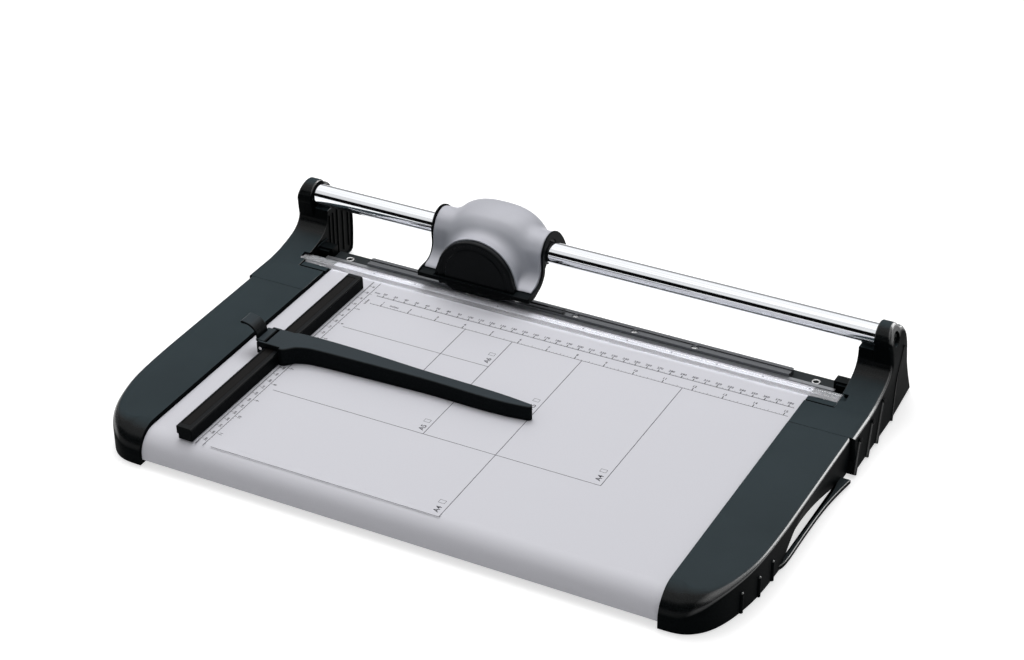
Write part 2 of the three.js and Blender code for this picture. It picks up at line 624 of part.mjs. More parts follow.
// Coil spring under one end of the clamp strip.
function clampSpring() {
  const { coil, wire, long } = spring;
  const high = strip.lift - gap - wire;
  const low = high - long + 2 * wire;
  class Coil extends THREE.Curve {
    getPoint(t, target = new THREE.Vector3()) {
      const angle = 2 * Math.PI * springTurns * t;
      return target.set(springX + coil * Math.cos(angle), springY + coil * Math.sin(angle),
        low + (high - low) * t);
    }
  }
  const outline = new THREE.Shape(arc(0, 0, wire, 0, 270, 3).map(([u, v]) =>
    new THREE.Vector2(u, v)));
  return solid(new THREE.ExtrudeGeometry(outline, {
    steps: springTurns * 8, extrudePath: new Coil(), bevelEnabled: false,
  }));
}

function guideBar() {
  const { wide, top } = guide;
  const [front, rear] = [guideFront, guideRear];
  const { small, big } = guideEdge;
  const left = guideEdgeX - wide;
  const right = guideEdgeX;
  const points = [[left + ledge.in, gap], [left + ledge.in, ledge.high], [left, ledge.high],
    [left, top - small], [left + small, top], [right - big, top], [right, top - big],
    [right, gap]];
  let body = prism('y', points, front, rear);
  body = body.subtract(box(left + inlay.from, left + inlay.from + inlay.wide,
    front + inlay.end, rear - inlay.end, top - inlay.deep, top + over));
  for (const y of guideScrewYs) {
    body = body.subtract(rod('z', guideScrew.hole, 0, guideScrew.up + over,
      right - guideScrew.inX, y, 14));
  }
  return body;
}

function guideInlay() {
  const x = guideLeft + inlay.from + gap;
  return box(x, x + inlay.wide - 2 * gap, guideFront + inlay.end + gap,
    guideRear - inlay.end - gap, guide.top - inlay.deep + gap / 2, guide.top - inlay.below);
}

// Screw up through the sheet into the guide bar.
function screwUp(y) {
  const { r, headR, head: high, up, inX } = guideScrew;
  const under = -sheet.thick - gap;
  return turned('z', [[0, under - high], [headR - gap, under - high], [headR, under - high / 2],
    [headR, under], [r, under], [r, up], [0, up]], guideEdgeX - inX, y, 16);
}

// Saddle over the guide bar with the long tapering arm; it is open underneath.
function stopArm() {
  const startX = guideEdgeX + saddle.right - over;
  const tipX = startX + arm.long;
  const rearY2 = armFront + arm.deep;
  let body = prism('z', within(armShares, startX, tipX, armFront, rearY2), arm.under, arm.top);
  const slope = [[startX - arm.deep, arm.under], [startX - arm.deep, arm.top],
    [startX + saddle.right, arm.top], [tipX + over, arm.tipTop], [tipX + over, arm.under]];
  body = body.intersect(prism('y', slope, armFront - over, rearY2 + over));
  body = body.subtract(prism('z', within(armHollowShares, startX, tipX, armFront, rearY2),
    arm.under - over, arm.tipTop - arm.roof));
  const { deep, left, lug, lugWide } = saddle;
  const front = saddleFront;
  const roof = guide.top + saddle.over;
  const leftX = guideEdgeX - left;
  body = body.add(box(leftX, guideEdgeX + saddle.right, front, front + deep, roof, arm.top));
  const outX = leftX - lugWide;
  const innerX = guideLeft - saddle.over;
  const eye = [[outX, pivot.z - 2 * saddle.right], [innerX, pivot.z - 2 * saddle.right],
    [innerX, roof], [leftX + over, roof], [leftX + over, arm.top],
    [outX + pivot.r, arm.top], [outX, arm.top - pivot.r]];
  for (const y of [front, front + deep - lug]) body = body.add(prism('y', eye, y, y + lug));
  return body.subtract(rod('y', pivot.r + gap / 3, front - over, front + deep + over,
    pivotX, pivot.z, 16));
}

// Locking lever: jaw under the ledge of the bar, back, and the curled finger tab.
function stopLever() {
  const { left, right, low, side, tabOut, tabHigh, tabIn } = lever;
  const x0 = guideEdgeX - left;
  const from = saddleFront + side;
  const to = saddleFront + saddle.deep - side;
  const back = within(leverBackShares, x0, guideEdgeX - right, low, arm.top);
  const tab = within(leverTabShares, x0 - tabOut, x0 + 2 * over, arm.top - 2 * over,
    arm.top + tabHigh);
  return prism('y', back, from, to).add(prism('y', tab, from + over, to - tabIn))
    .subtract(rod('y', pivot.r + pivot.clear, from - over, to + over, pivotX, pivot.z, 16));
}

function leverPin() {
  return rod('y', pivot.r - pivot.pin, saddleFront + gap, saddleFront + saddle.deep - gap,
    pivotX, pivot.z, 16);
}

// Points of the head's section, from shares of its depth and height.
function headPoints(table) {
  return within(table, knife.front - head.front, headRear, head.low, head.high);
}

// Rounded hood over the blade: rings that start round the front panel and end as the dome.
function hoodSolid(inset, cutBack) {
  const sides = 36;
  const last = hoodShares.length - 1;
  const rings = hoodShares.map(([high, along, turn], k) => {
    const y = panelBack + along * hoodLong - (k === 0 ? cutBack : 0) - (k === last ? inset : 0);
    const up = high * hood.high - inset;
    const across = high * hood.high * (1 - domeNarrowShare * turn) - inset;
    const power = 1 - domeSquareShare * turn;
    return Array.from({ length: sides }, (_, i) => {
      const angle = (2 * Math.PI * i) / sides;
      const [c, s] = [Math.cos(angle), Math.sin(angle)];
      return [head.x + across * Math.sign(c) * Math.abs(c) ** power, y,
        panel.z + up * Math.sign(s) * Math.abs(s) ** power];
    });
  });
  return loft(rings);
}

// Silver cover: a shell over the frame that swells into the hood.
function headCover() {
  const from = head.x - head.half + head.flange + gap;
  const to = head.x + head.half - head.flange - gap;
  const curve = headPoints(coverShares);
  const [toe, tail] = [curve[0], curve[curve.length - 1]];
  const low = head.low - over;
  const keep = box(from - over, to + over, panelBack - over, tail[0] + hood.high, toe[1],
    panel.z + hood.high + over).subtract(box(from - over, to + over, rail.y - rail.r,
    tail[0] + 2 * hood.high, low, tail[1]));
  const outer = prism('x', [...curve, [tail[0], low], [toe[0], low]], from, to)
    .add(hoodSolid(0, 0)).intersect(keep);
  const inside = offsetCurve(curve, head.cover).slice(1, -1);
  const [start, stopAt] = [inside[0], inside[inside.length - 1]];
  const inner2 = prism('x', [...inside, [tail[0] - head.cover, low], [start[0], low]],
    from - over, to + over).add(hoodSolid(head.cover, 2 * over));
  return outer.subtract(inner2);
}

// Black frame: two end flanges, a body round the rail, toes, and the boss for the blade.
function headFrame() {
  const section = [...headPoints(flangeShares), ...headPoints(skirtShares)];
  const ends = [-1, 1].map((side) => {
    const edge = head.x + side * head.half;
    const far = edge - side * head.flange;
    return prism('x', section, Math.min(edge, far), Math.max(edge, far));
  });
  const reach = head.half - head.flange / 2;
  const under = headPoints(skirtShares).slice(0, -1);
  const top = offsetCurve(headPoints(coverShares), head.cover + gap).slice(2, -1);
  const core = [...headPoints(coreFrontShares), ...top, [top[top.length - 1][0], under[0][1]],
    ...under];
  let body = ends[0].add(ends[1]).add(prism('x', core, head.x - reach, head.x + reach));
  for (const side of [-1, 1]) {
    const a = head.x + side * reach;
    const b = head.x + side * (panel.r + panel.before);
    body = body.add(prism('x', headPoints(toeShares), Math.min(a, b), Math.max(a, b)));
  }
  const toe = headPoints(toeShares);
  body = body.add(box(head.x - reach, head.x + reach, toe[0][0], panelBack - panel.thick - gap,
    toe[0][1], toe[1][1]));
  const hubBack = bladeBack + hub.flange + hub.cone + 2 * gap;
  body = body.add(box(head.x - hub.boss, head.x + hub.boss, hubBack, rail.y - rail.r - hub.r,
    blade.z - hub.small, blade.z + hub.r));
  body = body.subtract(rod('x', rail.r + bush.run + 2 * gap, head.x - head.half - over,
    head.x + head.half + over, rail.y, rail.z, 40));
  for (const side of [-1, 1]) {
    const edge = head.x + side * (head.half + over);
    const far = head.x + side * (head.half - bush.long - bush.in - gap);
    body = body.subtract(rod('x', rail.r + bush.wall + gap, Math.min(edge, far),
      Math.max(edge, far), rail.y, rail.z, 40));
  }
  body = body.subtract(rod('y', hub.r + over, bladeFront - over, hubBack, head.x, blade.z, 28));
  return body.subtract(rod('y', hub.axle + gap, bladeBack, rail.y, head.x, blade.z, 12));
}

function headBush(side) {
  const a = head.x + side * (head.half - bush.in);
  const b = head.x + side * (head.half - bush.in - bush.long);
  return ring('x', rail.r + bush.run, rail.r + bush.wall, Math.min(a, b), Math.max(a, b),
    rail.y, rail.z, 28);
}

// Round black front panel with a shallow ring groove and a flat lower edge.
function bladePanel() {
  const { r, thick, groove, grooveR, z, flat } = panel;
  const front = panelBack - thick;
  const edge = thick / 2;
  const face = [[0, panelBack], [r, panelBack], [r, front + edge], [r - edge / 3, front + edge / 2],
    [r - edge, front], [groove + 2 * grooveR, front], [groove + grooveR, front + grooveR],
    [groove - grooveR, front + grooveR], [groove - 2 * grooveR, front], [0, front]];
  let body = turned('y', face, head.x, z, 40);
  body = body.subtract(box(head.x - r - over, head.x + r + over, front - over,
    panelBack + over, z - r - over, flat));
  body = body.add(prism('y', [[head.x - guard.half, guard.high],
    [head.x - guard.half + guard.in, guard.high - guard.in], [head.x - guard.flatHalf, guard.low],
    [head.x + guard.flatHalf, guard.low], [head.x + guard.half - guard.in, guard.high - guard.in],
    [head.x + guard.half, guard.high]], front + guard.in, panelBack));
  return body.subtract(rod('y', hub.axle + 3 * gap, panelBack - 4 * gap, panelBack + over,
    head.x, blade.z, 16));
}

function bladeDisc() {
  const { r, thick, bevel, bore, z } = blade;
  const edge = thick / 8;
  return turned('y', [[bore, bladeFront], [r - bevel, bladeFront], [r, bladeBack - edge],
    [r, bladeBack], [bore, bladeBack]], head.x, z, 40);
}

function bladeHub() {
  const { r, small, flange, cone, nose, bore } = hub;
  const front = bladeFront - nose;
  const seat = bladeBack + 2 * gap / 3;
  const spigot = blade.bore - 2 * gap / 3;
  return turned('y', [[bore, front], [spigot, front], [spigot, seat], [r, seat],
    [r, seat + flange], [small, seat + flange + cone], [bore, seat + flange + cone]],
  head.x, blade.z, 16);
}

function bladeAxle() {
  return rod('y', hub.axle, panelBack - 3 * gap, rail.y - rail.r - hub.r + over, head.x, blade.z,
    16);
}

function build() {
  const machine = new THREE.Group();
  machine.add(
    piece('base_table', 'steelSheet', baseTable()),
    piece('rail_tube', 'chrome', railTube()),
    piece('bed_beam', 'black', bedBeam()),
    piece('bed_knife', 'steel', bedKnife()),
    piece('bed_profile', 'aluminium', bedProfile()),
    piece('clamp_strip', 'clear', clampStrip()),
    piece('guide_bar', 'black', guideBar()),
    piece('guide_inlay', 'slate', guideInlay()),
    piece('guide_screw_front', 'steel', screwUp(guideScrewYs[0])),
    piece('guide_screw_rear', 'steel', screwUp(guideScrewYs[1])),
    piece('stop_arm', 'slate', stopArm()),
    piece('stop_lever', 'black', stopLever()),
    piece('stop_lever_pin', 'steel', leverPin()),
    piece('head_frame', 'black', headFrame()),
    piece('head_cover', 'silverPlastic', headCover()),
    piece('head_bush_left', 'black', headBush(-1)),
    piece('head_bush_right', 'black', headBush(1)),
    piece('blade_housing', 'black', bladePanel()),
    piece('blade_disc', 'steel', bladeDisc()),
    piece('blade_hub', 'black', bladeHub()),
    piece('blade_axle', 'steel', bladeAxle()),
  );
  bedScrewXs.forEach((x, i) => {
    machine.add(piece(`profile_screw_${i + 1}`, 'steel', smallScrew(x, bedScrewY,
      gap / 3 + profile.high / 2, bedScrew.headR, bedScrew.headHigh, bedScrew.deep)));
  });
  for (const [side, name] of [[1, 'right'], [-1, 'left']]) {
    const half = new THREE.Group();
    half.scale.x = side;
    half.add(
      piece(`front_cap_${name}`, 'slate', frontCap()),
      piece(`rear_housing_${name}`, 'slate', rearHousing()),
      piece(`side_cover_${name}`, 'black', sideCover()),
      piece(`rail_plug_${name}`, 'steel', railPlug()),
      piece(`rail_screw_${name}`, 'steel', endScrew()),
      piece(`end_block_${name}`, 'black', blackBlock()),
      piece(`clamp_spring_${name}`, 'steel', clampSpring()),
      piece(`plate_screw_${name}`, 'steel', smallScrew(plateX, plateY, gap / 3 - beam.drop,
        plateScrew.headR, plateScrew.headHigh, plateScrew.deep)),
      piece(`foot_front_${name}`, 'rubber', rubberFoot(footX, footY)),
      piece(`foot_rear_${name}`, 'rubber', rubberFoot(rearFootX, rearFootY)),
    );
    machine.add(half);
  }
  machine.position.set(0, -(frontY + rearY) / 2, standHeight);
  return machine;
}

const trimmer = new THREE.Group();
trimmer.add(build());

export default trimmer;
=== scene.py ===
import math

import bmesh
import bpy
import numpy as np
from mathutils import Matrix, Vector


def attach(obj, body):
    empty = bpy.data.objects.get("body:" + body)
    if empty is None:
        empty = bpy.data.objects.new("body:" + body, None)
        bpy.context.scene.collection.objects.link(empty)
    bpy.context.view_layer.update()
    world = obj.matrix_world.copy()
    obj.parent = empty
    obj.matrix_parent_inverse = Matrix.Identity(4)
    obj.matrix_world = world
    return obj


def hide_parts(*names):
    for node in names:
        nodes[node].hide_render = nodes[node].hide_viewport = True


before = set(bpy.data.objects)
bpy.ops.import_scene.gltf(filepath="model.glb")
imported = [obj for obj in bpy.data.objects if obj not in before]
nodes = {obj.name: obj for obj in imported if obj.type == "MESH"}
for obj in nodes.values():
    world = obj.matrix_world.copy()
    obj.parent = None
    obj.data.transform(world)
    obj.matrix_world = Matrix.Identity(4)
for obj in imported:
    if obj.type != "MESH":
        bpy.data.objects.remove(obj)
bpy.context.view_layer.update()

# Camera: the photograph's viewing angle, solved from the printed marks of the table.
CAMERA_AT = (0.729556, -1.365776, 1.043327)
CAMERA_RIGHT = (0.886628, 0.462410, -0.008284)
CAMERA_DOWN = (0.2377, -0.4711, -0.8494)
CAMERA_LENS = 83.72
SENSOR_WIDTH = 36.0

# Sizes of the machine, in millimetres.
TO_METRES = 0.001
SHIFT_Y = 128.25
STAND = 27.5
GAP = 0.3
SHEET_HALF, SHEET_REAR, SHEET_FRONT = 215.5, -18.0, -309.5
SHEET_THICK, NOSE_R, APRON, SKIRT = 1.6, 18.0, 21.5, 14.0
INNER = SHEET_HALF + GAP
DECK_TOP, DECK_BOTTOM, DECK_WALL, NOSE_ROLL, DECK_EDGE = 3.8, -26.0, 3.2, 22.0, 2.4
HOUSING_OUT = 272.5
CAP_OUT = 266.3
CAP_FRONT = -311.5
SEAM = -75.0
CORNER_END = -199.99
TOWER_IN, WALL_OUT, CAP_IN = 240.0, 246.0, 252.7
POCKET_FRONT, WELL_REAR = -42.0, 5.2
TOWER_FACE, TOWER_BACK, TOWER_REAR, SHOULDER = 6.5, 36.5, 55.0, 31.5
LEAN = [(-26.0, 0.0), (3.8, 3.3), (14, 3.4), (26, 3.5), (40, 4.8), (54, 8.6), (60, 10.2)]
RAIL_Y, RAIL_Z, RAIL_R, RAIL_END = 14.6, 41.5, 9.0, 260.1
KNIFE_FRONT, KNIFE_REAR = -15.3, -11.5
HEAD_X, HEAD_HALF, HEAD_FLANGE, HEAD_REAR = -82.8, 52.0, 1.5, 44.2
HEAD_FRONT, HEAD_LOW, HEAD_HIGH = -24.3, 12.2, 58.4
PANEL_BACK, PANEL_THICK, PANEL_Z, PANEL_R = -17.0, 4.6, 18.6, 35.5
HOOD_HIGH, HOOD_LONG = 49.8, 59.4
GUIDE_RIGHT, GUIDE_WIDE, GUIDE_TOP = -174.8, 13.7, 11.5
GUIDE_FRONT, GUIDE_REAR = -298.8, -45.4
ARM_FRONT, ARM_DEEP, ARM_LONG, ARM_TOP, ARM_TIP = -178.0, 29.5, 213.0, 16.0, 13.0
PIN, PIN_R, LUG, LEVER_IN, LEVER_SIDE = (GUIDE_RIGHT - 17.7, 9.5), 1.6, 1.8, 12.6, 2.4
SADDLE_IN, SADDLE_DEEP = 2.0, 24.0
BLADE_Z, BLADE_BACK, BLADE_R, BLADE_THICK, BLADE_BEVEL = 21.0, -15.6, 22.5, 0.8, 1.2
FOOT_R, FOOT_SEAT, FRONT_FOOT, REAR_FOOT = 8.8, -24.3, (237.0, -282.0), (256.5, 28.0)
PLATE_SCREW_X, PLATE_SCREW_Y = 211.8, -5.6
BED_SCREW_X, BED_SCREW_Y, BED_SCREW_PITCH = -102.7, -8.16, 53
STRIP_FRONT, STRIP_REAR, STRIP_LOW, STRIP_TOP = -31.5, -19.5, 1.0, 5.1
STRIP_LEFT, STRIP_RIGHT = -245.0, 239.0
CREASE_Y, CREASE_SLANT = 16.6, 0.52
POCKET_FLOOR = -0.4

CAP_CORNER = [(0, 0), (0.267, 0.002), (0.376, 0.012), (0.459, 0.033), (0.576, 0.074),
              (0.669, 0.125), (0.749, 0.193), (0.82, 0.277), (0.879, 0.376), (0.927, 0.474),
              (0.96, 0.582), (0.98, 0.704), (0.992, 0.848), (1, 1)]
GRIP_BAR = [(1, 1), (0.82, 0.874), (0.68, 0.744), (0.6, 0.599), (0.57, 0.437), (0.57, 0.275),
            (0.57, 0.113), (0.51, 0.04), (0.38, 0), (0, 0), (0.22, 0.065), (0.27, 0.194),
            (0.27, 0.356), (0.33, 0.591), (0.45, 0.801), (0.36, 0.914), (0.23, 0.974), (0.08, 1)]
TOWER_FRONT = [(0, 0), (0.289, 0.054), (0.454, 0.112), (0.649, 0.199), (0.784, 0.282),
               (0.897, 0.412), (0.965, 0.578), (0.994, 0.765), (1, 1)]
TOWER_FALL = [(0, 1), (0.2, 0.878), (0.378, 0.748), (0.511, 0.626), (0.689, 0.4),
              (0.849, 0.191), (0.938, 0.087), (1, 0)]
INNER_WALL = [(0.57, 1), (0.86, 0.93), (1, 0.76), (1, 0.113), (0.975, 0.045), (0.9, 0.01),
              (0.79, 0)]
RECESS = [(0.402, 0), (0.402, 0.548), (0.123, 0.548), (0.153, 0.595), (0.255, 0.638),
          (0.344, 0.71), (0.397, 0.8), (0.42, 0.9), (0.425, 1), (0.797, 1), (0.934, 0.928),
          (0.995, 0.765), (0.995, 0.108), (0.98, 0.041), (0.95, 0.009), (0.905, 0)]
CAP_RIBS = [(0.881, 0.38), (0.958, 0.58), (0.985, 0.77)]
TOWER_RIBS = [(0.085, 0.365), (0.293, 0.38), (0.479, 0.464)]
ARM = [(-0.004, 0), (0.013, 0), (0.035, 0.146), (0.047, 0.237), (0.07, 0.319), (0.095, 0.376),
       (0.124, 0.4), (0.286, 0.461), (0.556, 0.542), (0.983, 0.631), (0.996, 0.664), (1, 0.732),
       (0.996, 0.807), (0.983, 0.827), (0.526, 0.932), (0.244, 1), (0.058, 0.976),
       (0.011, 0.936), (-0.004, 0.895)]
LEVER_BACK = [(0.2, 0.14), (0.4, 0), (1, 0), (1, 0.22), (0.79, 0.22), (0.79, 0.95), (0.73, 1),
              (0, 1), (0, 0.88), (0.16, 0.83)]
LEVER_TAB = [(0.88, 0), (0.84, 0.31), (0.73, 0.59), (0.54, 0.77), (0.31, 0.85), (0.04, 0.87),
             (0, 0.93), (0.04, 1), (0.34, 0.99), (0.61, 0.89), (0.83, 0.66), (0.95, 0.37),
             (1, 0.01)]
FLANGE = [(0, 0.009), (0, 0.095), (0.025, 0.117), (0.136, 0.143), (0.209, 0.147),
          (0.267, 0.173), (0.315, 0.221), (0.349, 0.299), (0.365, 0.407), (0.358, 0.591),
          (0.359, 0.732), (0.393, 0.831), (0.428, 0.905), (0.48, 0.965), (0.545, 0.996),
          (0.618, 1), (0.709, 0.957), (0.8, 0.87), (0.874, 0.758), (0.939, 0.628), (1, 0.463)]
SKIRT_EDGE = [(0.485, 0.463), (0.436, 0.394), (0.431, 0.312), (0.4, 0.216), (0.333, 0.113),
              (0.225, 0.043), (0.145, 0)]
COVER = [(0.107, 0.113), (0.15, 0.16), (0.216, 0.186), (0.276, 0.238), (0.326, 0.329),
         (0.346, 0.429), (0.34, 0.591), (0.355, 0.701), (0.387, 0.784), (0.434, 0.857),
         (0.492, 0.909), (0.559, 0.939), (0.632, 0.939), (0.705, 0.9), (0.784, 0.818),
         (0.854, 0.71), (0.915, 0.58), (0.959, 0.468)]
# The cover's skin lies almost flush with the rims of the flanges.
COVER_SKIN = [*COVER[:6], (0.350, 0.591), (0.366, 0.715), (0.400, 0.810), (0.437, 0.882),
              (0.488, 0.938), (0.550, 0.974), (0.618, 0.980), (0.703, 0.938), (0.790, 0.853),
              (0.862, 0.742), (0.925, 0.613), (0.975, 0.488)]
HOOD = [(0.742, 0, 0), (0.735, 0.024, 0), (0.708, 0.1, 0), (0.715, 0.175, 0.1),
        (0.76, 0.235, 0.3), (0.85, 0.3, 0.6), (0.923, 0.375, 0.8), (0.966, 0.47, 0.95),
        (0.99, 0.598, 1), (1, 0.724, 1), (0.985, 0.808, 1), (0.93, 0.894, 1),
        (0.8, 0.967, 1), (0.6, 1, 1)]


def within(table, u0, u1, v0, v1):
    """Points from shares of the stretch u0 to u1 and of the stretch v0 to v1."""
    return [(u0 + (u1 - u0) * u, v0 + (v1 - v0) * v) for u, v in table]


def arc(cu, cv, r, from_deg, to_deg, steps):
    turns = [math.radians(from_deg + (to_deg - from_deg) * i / steps) for i in range(steps + 1)]
    return [(cu + r * math.cos(t), cv + r * math.sin(t)) for t in turns]


def spline(points, steps=5, closed=False, corner=38.0):
    """A smooth curve through the points. A point that turns sharply stays a corner."""
    pts = [Vector(p) for p in points]
    count = len(pts)

    def at(i):
        return pts[i % count] if closed else pts[min(max(i, 0), count - 1)]

    def heading(i, side):
        before, after = at(i) - at(i - 1), at(i + 1) - at(i)
        if before.length < 1e-6:
            return after.normalized()
        if after.length < 1e-6:
            return before.normalized()
        if before.angle(after) > math.radians(corner):
            return (after if side > 0 else before).normalized()
        return (before.normalized() + after.normalized()).normalized()

    out = []
    last = count if closed else count - 1
    for i in range(last):
        a, b = at(i), at(i + 1)
        size = (b - a).length
        ta, tb = heading(i, 1) * size, heading(i + 1, -1) * size
        n = max(1, min(steps, int(size / 0.5)))
        for k in range(n):
            t = k / n
            h = (2 * t**3 - 3 * t**2 + 1, t**3 - 2 * t**2 + t, 3 * t**2 - 2 * t**3, t**3 - t**2)
            out.append(tuple(a * h[0] + ta * h[1] + b * h[2] + tb * h[3]))
    if not closed:
        out.append(tuple(at(last)))
    return out


def area(points):
    pairs = zip(points, points[1:] + points[:1])
    return sum(a[0] * b[1] - b[0] * a[1] for a, b in pairs) / 2


def inset(points, distance):
    """A closed outline that runs anticlockwise, moved inwards."""
    out = []
    count = len(points)
    for i in range(count):
        p, q, r = (Vector(points[j % count]) for j in (i - 1, i, i + 1))
        a, b = (q - p).normalized(), (r - q).normalized()
        na, nb = Vector((-a.y, a.x)), Vector((-b.y, b.x))
        n = (na + nb).normalized()
        out.append(tuple(q + n * distance / max(n.dot(na), 0.6)))
    return out


def headings(points):
    """The direction of an open line at each of its points."""
    pts = [Vector(p) for p in points]
    last = len(pts) - 1
    return [(pts[min(i + 1, last)] - pts[max(i - 1, 0)]).normalized() for i in range(last + 1)]


def lifted(axis, u, v, along):
    return {"x": (along, u, v), "y": (u, along, v), "z": (u, v, along)}[axis]


def stored(bm, mesh):
    """The mesh, with what was edited written back to it."""
    bm.to_mesh(mesh)
    bm.free()
    return mesh


def raw(verts, faces):
    """A closed mesh with its faces turned outwards."""
    bm = bmesh.new()
    made = [bm.verts.new(v) for v in verts]
    for face in faces:
        bm.faces.new([made[i] for i in face])
    bmesh.ops.recalc_face_normals(bm, faces=bm.faces)
    return stored(bm, bpy.data.meshes.new("raw"))


def quarter(steps, turns=1):
    """Angles in even steps through one or more quarter turns."""
    return [math.pi / 2 * turns * i / steps for i in range(steps + 1)]


def tube(rows, count):
    """Faces between closed rows of points, with a lid on the first and the last row."""
    faces = [list(range(count)), list(range((rows - 1) * count, rows * count))]
    for k in range(rows - 1):
        for i in range(count):
            a, b = k * count + i, k * count + (i + 1) % count
            faces.append([a, b, b + count, a + count])
    return faces


def prism(axis, outline, start, end, roll=0.0, steps=4, roll_end=None):
    """An outline pushed along an axis, with its two rims rolled over by a small radius."""
    outline = list(outline)
    if area(outline) < 0:
        outline.reverse()
    rings = []
    for side, radius in ((start, roll), (end, roll if roll_end is None else roll_end)):
        sign = 1 if side == start else -1
        part = [(radius * (1 - math.sin(t)), side + sign * radius * (1 - math.cos(t)))
                for t in (quarter(steps) if radius > 0 else [math.pi / 2])]
        rings += part[::sign]
    verts = []
    for distance, along in rings:
        ring = inset(outline, distance) if distance > 1e-9 else outline
        verts += [lifted(axis, u, v, along) for u, v in ring]
    return raw(verts, tube(len(rings), len(outline)))


def block(x0, x1, y0, y1, z0, z1, roll=0.0):
    return prism("z", [(x0, y0), (x1, y0), (x1, y1), (x0, y1)], z0, z1, roll, 3)


def turned(axis, profile, cu, cv, sides=64):
    """A profile of (radius, along) turned about an axis through (cu, cv)."""
    verts, rows = [], []
    for r, along in profile:
        if r < 1e-6:
            rows.append([len(verts)] * sides)
            verts.append(lifted(axis, cu, cv, along))
            continue
        rows.append(list(range(len(verts), len(verts) + sides)))
        for t in quarter(sides, 4)[:-1]:
            verts.append(lifted(axis, cu + r * math.cos(t), cv + r * math.sin(t), along))
    if profile[0][0] > 1e-6:
        rows.append(rows[0])
    faces = []
    for a, b in zip(rows, rows[1:]):
        for i in range(sides):
            j = (i + 1) % sides
            ring = [a[i], a[j], b[j], b[i]]
            faces.append([v for k, v in enumerate(ring) if v not in ring[:k]])
    return raw(verts, faces)


def rod(axis, r, start, end, cu, cv, sides=64, round_end=0.0):
    e = round_end
    tip = arc(r - e, end - e, e, 0, 90, 5) if e else [(r, end)]
    return turned(axis, [(0, start), (r, start), *tip, (0, end)], cu, cv, sides)


def placed(name, data):
    """A new object in the scene."""
    obj = bpy.data.objects.new(name, data)
    bpy.context.scene.collection.objects.link(obj)
    return obj


def baked(obj):
    """The mesh that an object's modifiers or its text come to."""
    graph = bpy.context.evaluated_depsgraph_get()
    return bpy.data.meshes.new_from_object(obj.evaluated_get(graph))


def combine(operation, mesh, *others):
    """Joins or cuts meshes. Operation: UNION, DIFFERENCE or INTERSECT."""
    helpers = [placed("helper", m) for m in (mesh, *others)]
    for obj in helpers[1:]:
        step = helpers[0].modifiers.new("join", "BOOLEAN")
        step.operation = operation
        step.solver = "MANIFOLD"
        step.object = obj
    result = baked(helpers[0])
    for obj in helpers:
        old = obj.data
        bpy.data.objects.remove(obj)
        if old.users == 0:
            bpy.data.meshes.remove(old)
    return result


def joined(*meshes):
    return combine("UNION", *meshes)


def cut(mesh, *others):
    return combine("DIFFERENCE", mesh, *others)


def gathered(*meshes):
    """Separate closed shells kept in one mesh."""
    bm = bmesh.new()
    for mesh in meshes:
        bm.from_mesh(mesh)
    return stored(bm, bpy.data.meshes.new("gathered"))


def mirrored(mesh):
    out = mesh.copy()
    out.transform(Matrix.Scale(-1, 4, (1, 0, 0)))
    out.flip_normals()
    return out


def net(field, low, high, step):
    """A smooth closed mesh where a field of distances is zero (negative is inside)."""
    axes = [np.arange(a, b + step, step) for a, b in zip(low, high)]
    values = field(*np.meshgrid(*axes, indexing="ij"))
    cells = np.array(values.shape) - 1
    total, hits = np.zeros((*cells, 3)), np.zeros(tuple(cells))
    crossings = []
    for axis in range(3):
        b, c = (a for a in range(3) if a != axis)
        near, far = np.delete(values, -1, axis), np.delete(values, 0, axis)
        inside = near < 0
        cross = inside != (far < 0)
        place = np.moveaxis(np.indices(near.shape).astype(float), 0, -1)
        place[..., axis] += np.where(cross, near / np.where(cross, near - far, 1.0), 0.0)
        crossings.append((cross, inside, b, c))
        for p, q in ((0, 0), (0, 1), (1, 0), (1, 1)):
            window = [slice(None)] * 3
            window[b], window[c] = slice(p, p + cells[b]), slice(q, q + cells[c])
            hit = cross[tuple(window)]
            total += place[tuple(window)] * hit[..., None]
            hits += hit
    used = hits > 0
    number = np.full(tuple(cells), -1)
    number[used] = np.arange(used.sum())
    verts = total[used] / hits[used][:, None] * step + np.array([a[0] for a in axes])
    faces = []
    for axis, (cross, inside, b, c) in enumerate(crossings):
        where = np.argwhere(cross)
        row, column = where[:, b], where[:, c]
        where = where[(row > 0) & (column > 0) & (row < cells[b]) & (column < cells[c])]
        turn = inside[tuple(where.T)] ^ (axis == 1)
        ring = []
        for db, dc in ((1, 1), (0, 1), (0, 0), (1, 0)):
            spot = where.copy()
            spot[:, b] -= db
            spot[:, c] -= dc
            ring.append(number[tuple(spot.T)])
        ring = np.stack(ring, axis=1)
        faces.append(np.where(turn[:, None], ring, ring[:, ::-1]))
    mesh = bpy.data.meshes.new("net")
    mesh.from_pydata(verts.tolist(), [], np.concatenate(faces).tolist())
    mesh.validate()
    return mesh


def outline_distance(points, u, v):
    """Signed distance to a closed outline: negative inside."""
    best = np.full(u.shape, 1e9)
    inside = np.zeros(u.shape, dtype=bool)
    for (au, av), (bu, bv) in zip(points, points[1:] + points[:1]):
        du, dv = bu - au, bv - av
        size = du * du + dv * dv
        if size < 1e-12:
            continue
        t = np.clip(((u - au) * du + (v - av) * dv) / size, 0, 1)
        best = np.minimum(best, np.hypot(u - au - t * du, v - av - t * dv))
        if abs(dv) > 1e-12:
            between = (av > v) != (bv > v)
            inside ^= between & (u < du * (v - av) / dv + au)
    return np.where(inside, -best, best)


def blend(a, b, radius):
    """The union of two fields with a fillet of about that radius between them."""
    h = np.clip(0.5 + 0.5 * (b - a) / radius, 0, 1)
    return b * (1 - h) + a * h - radius * h * (1 - h)


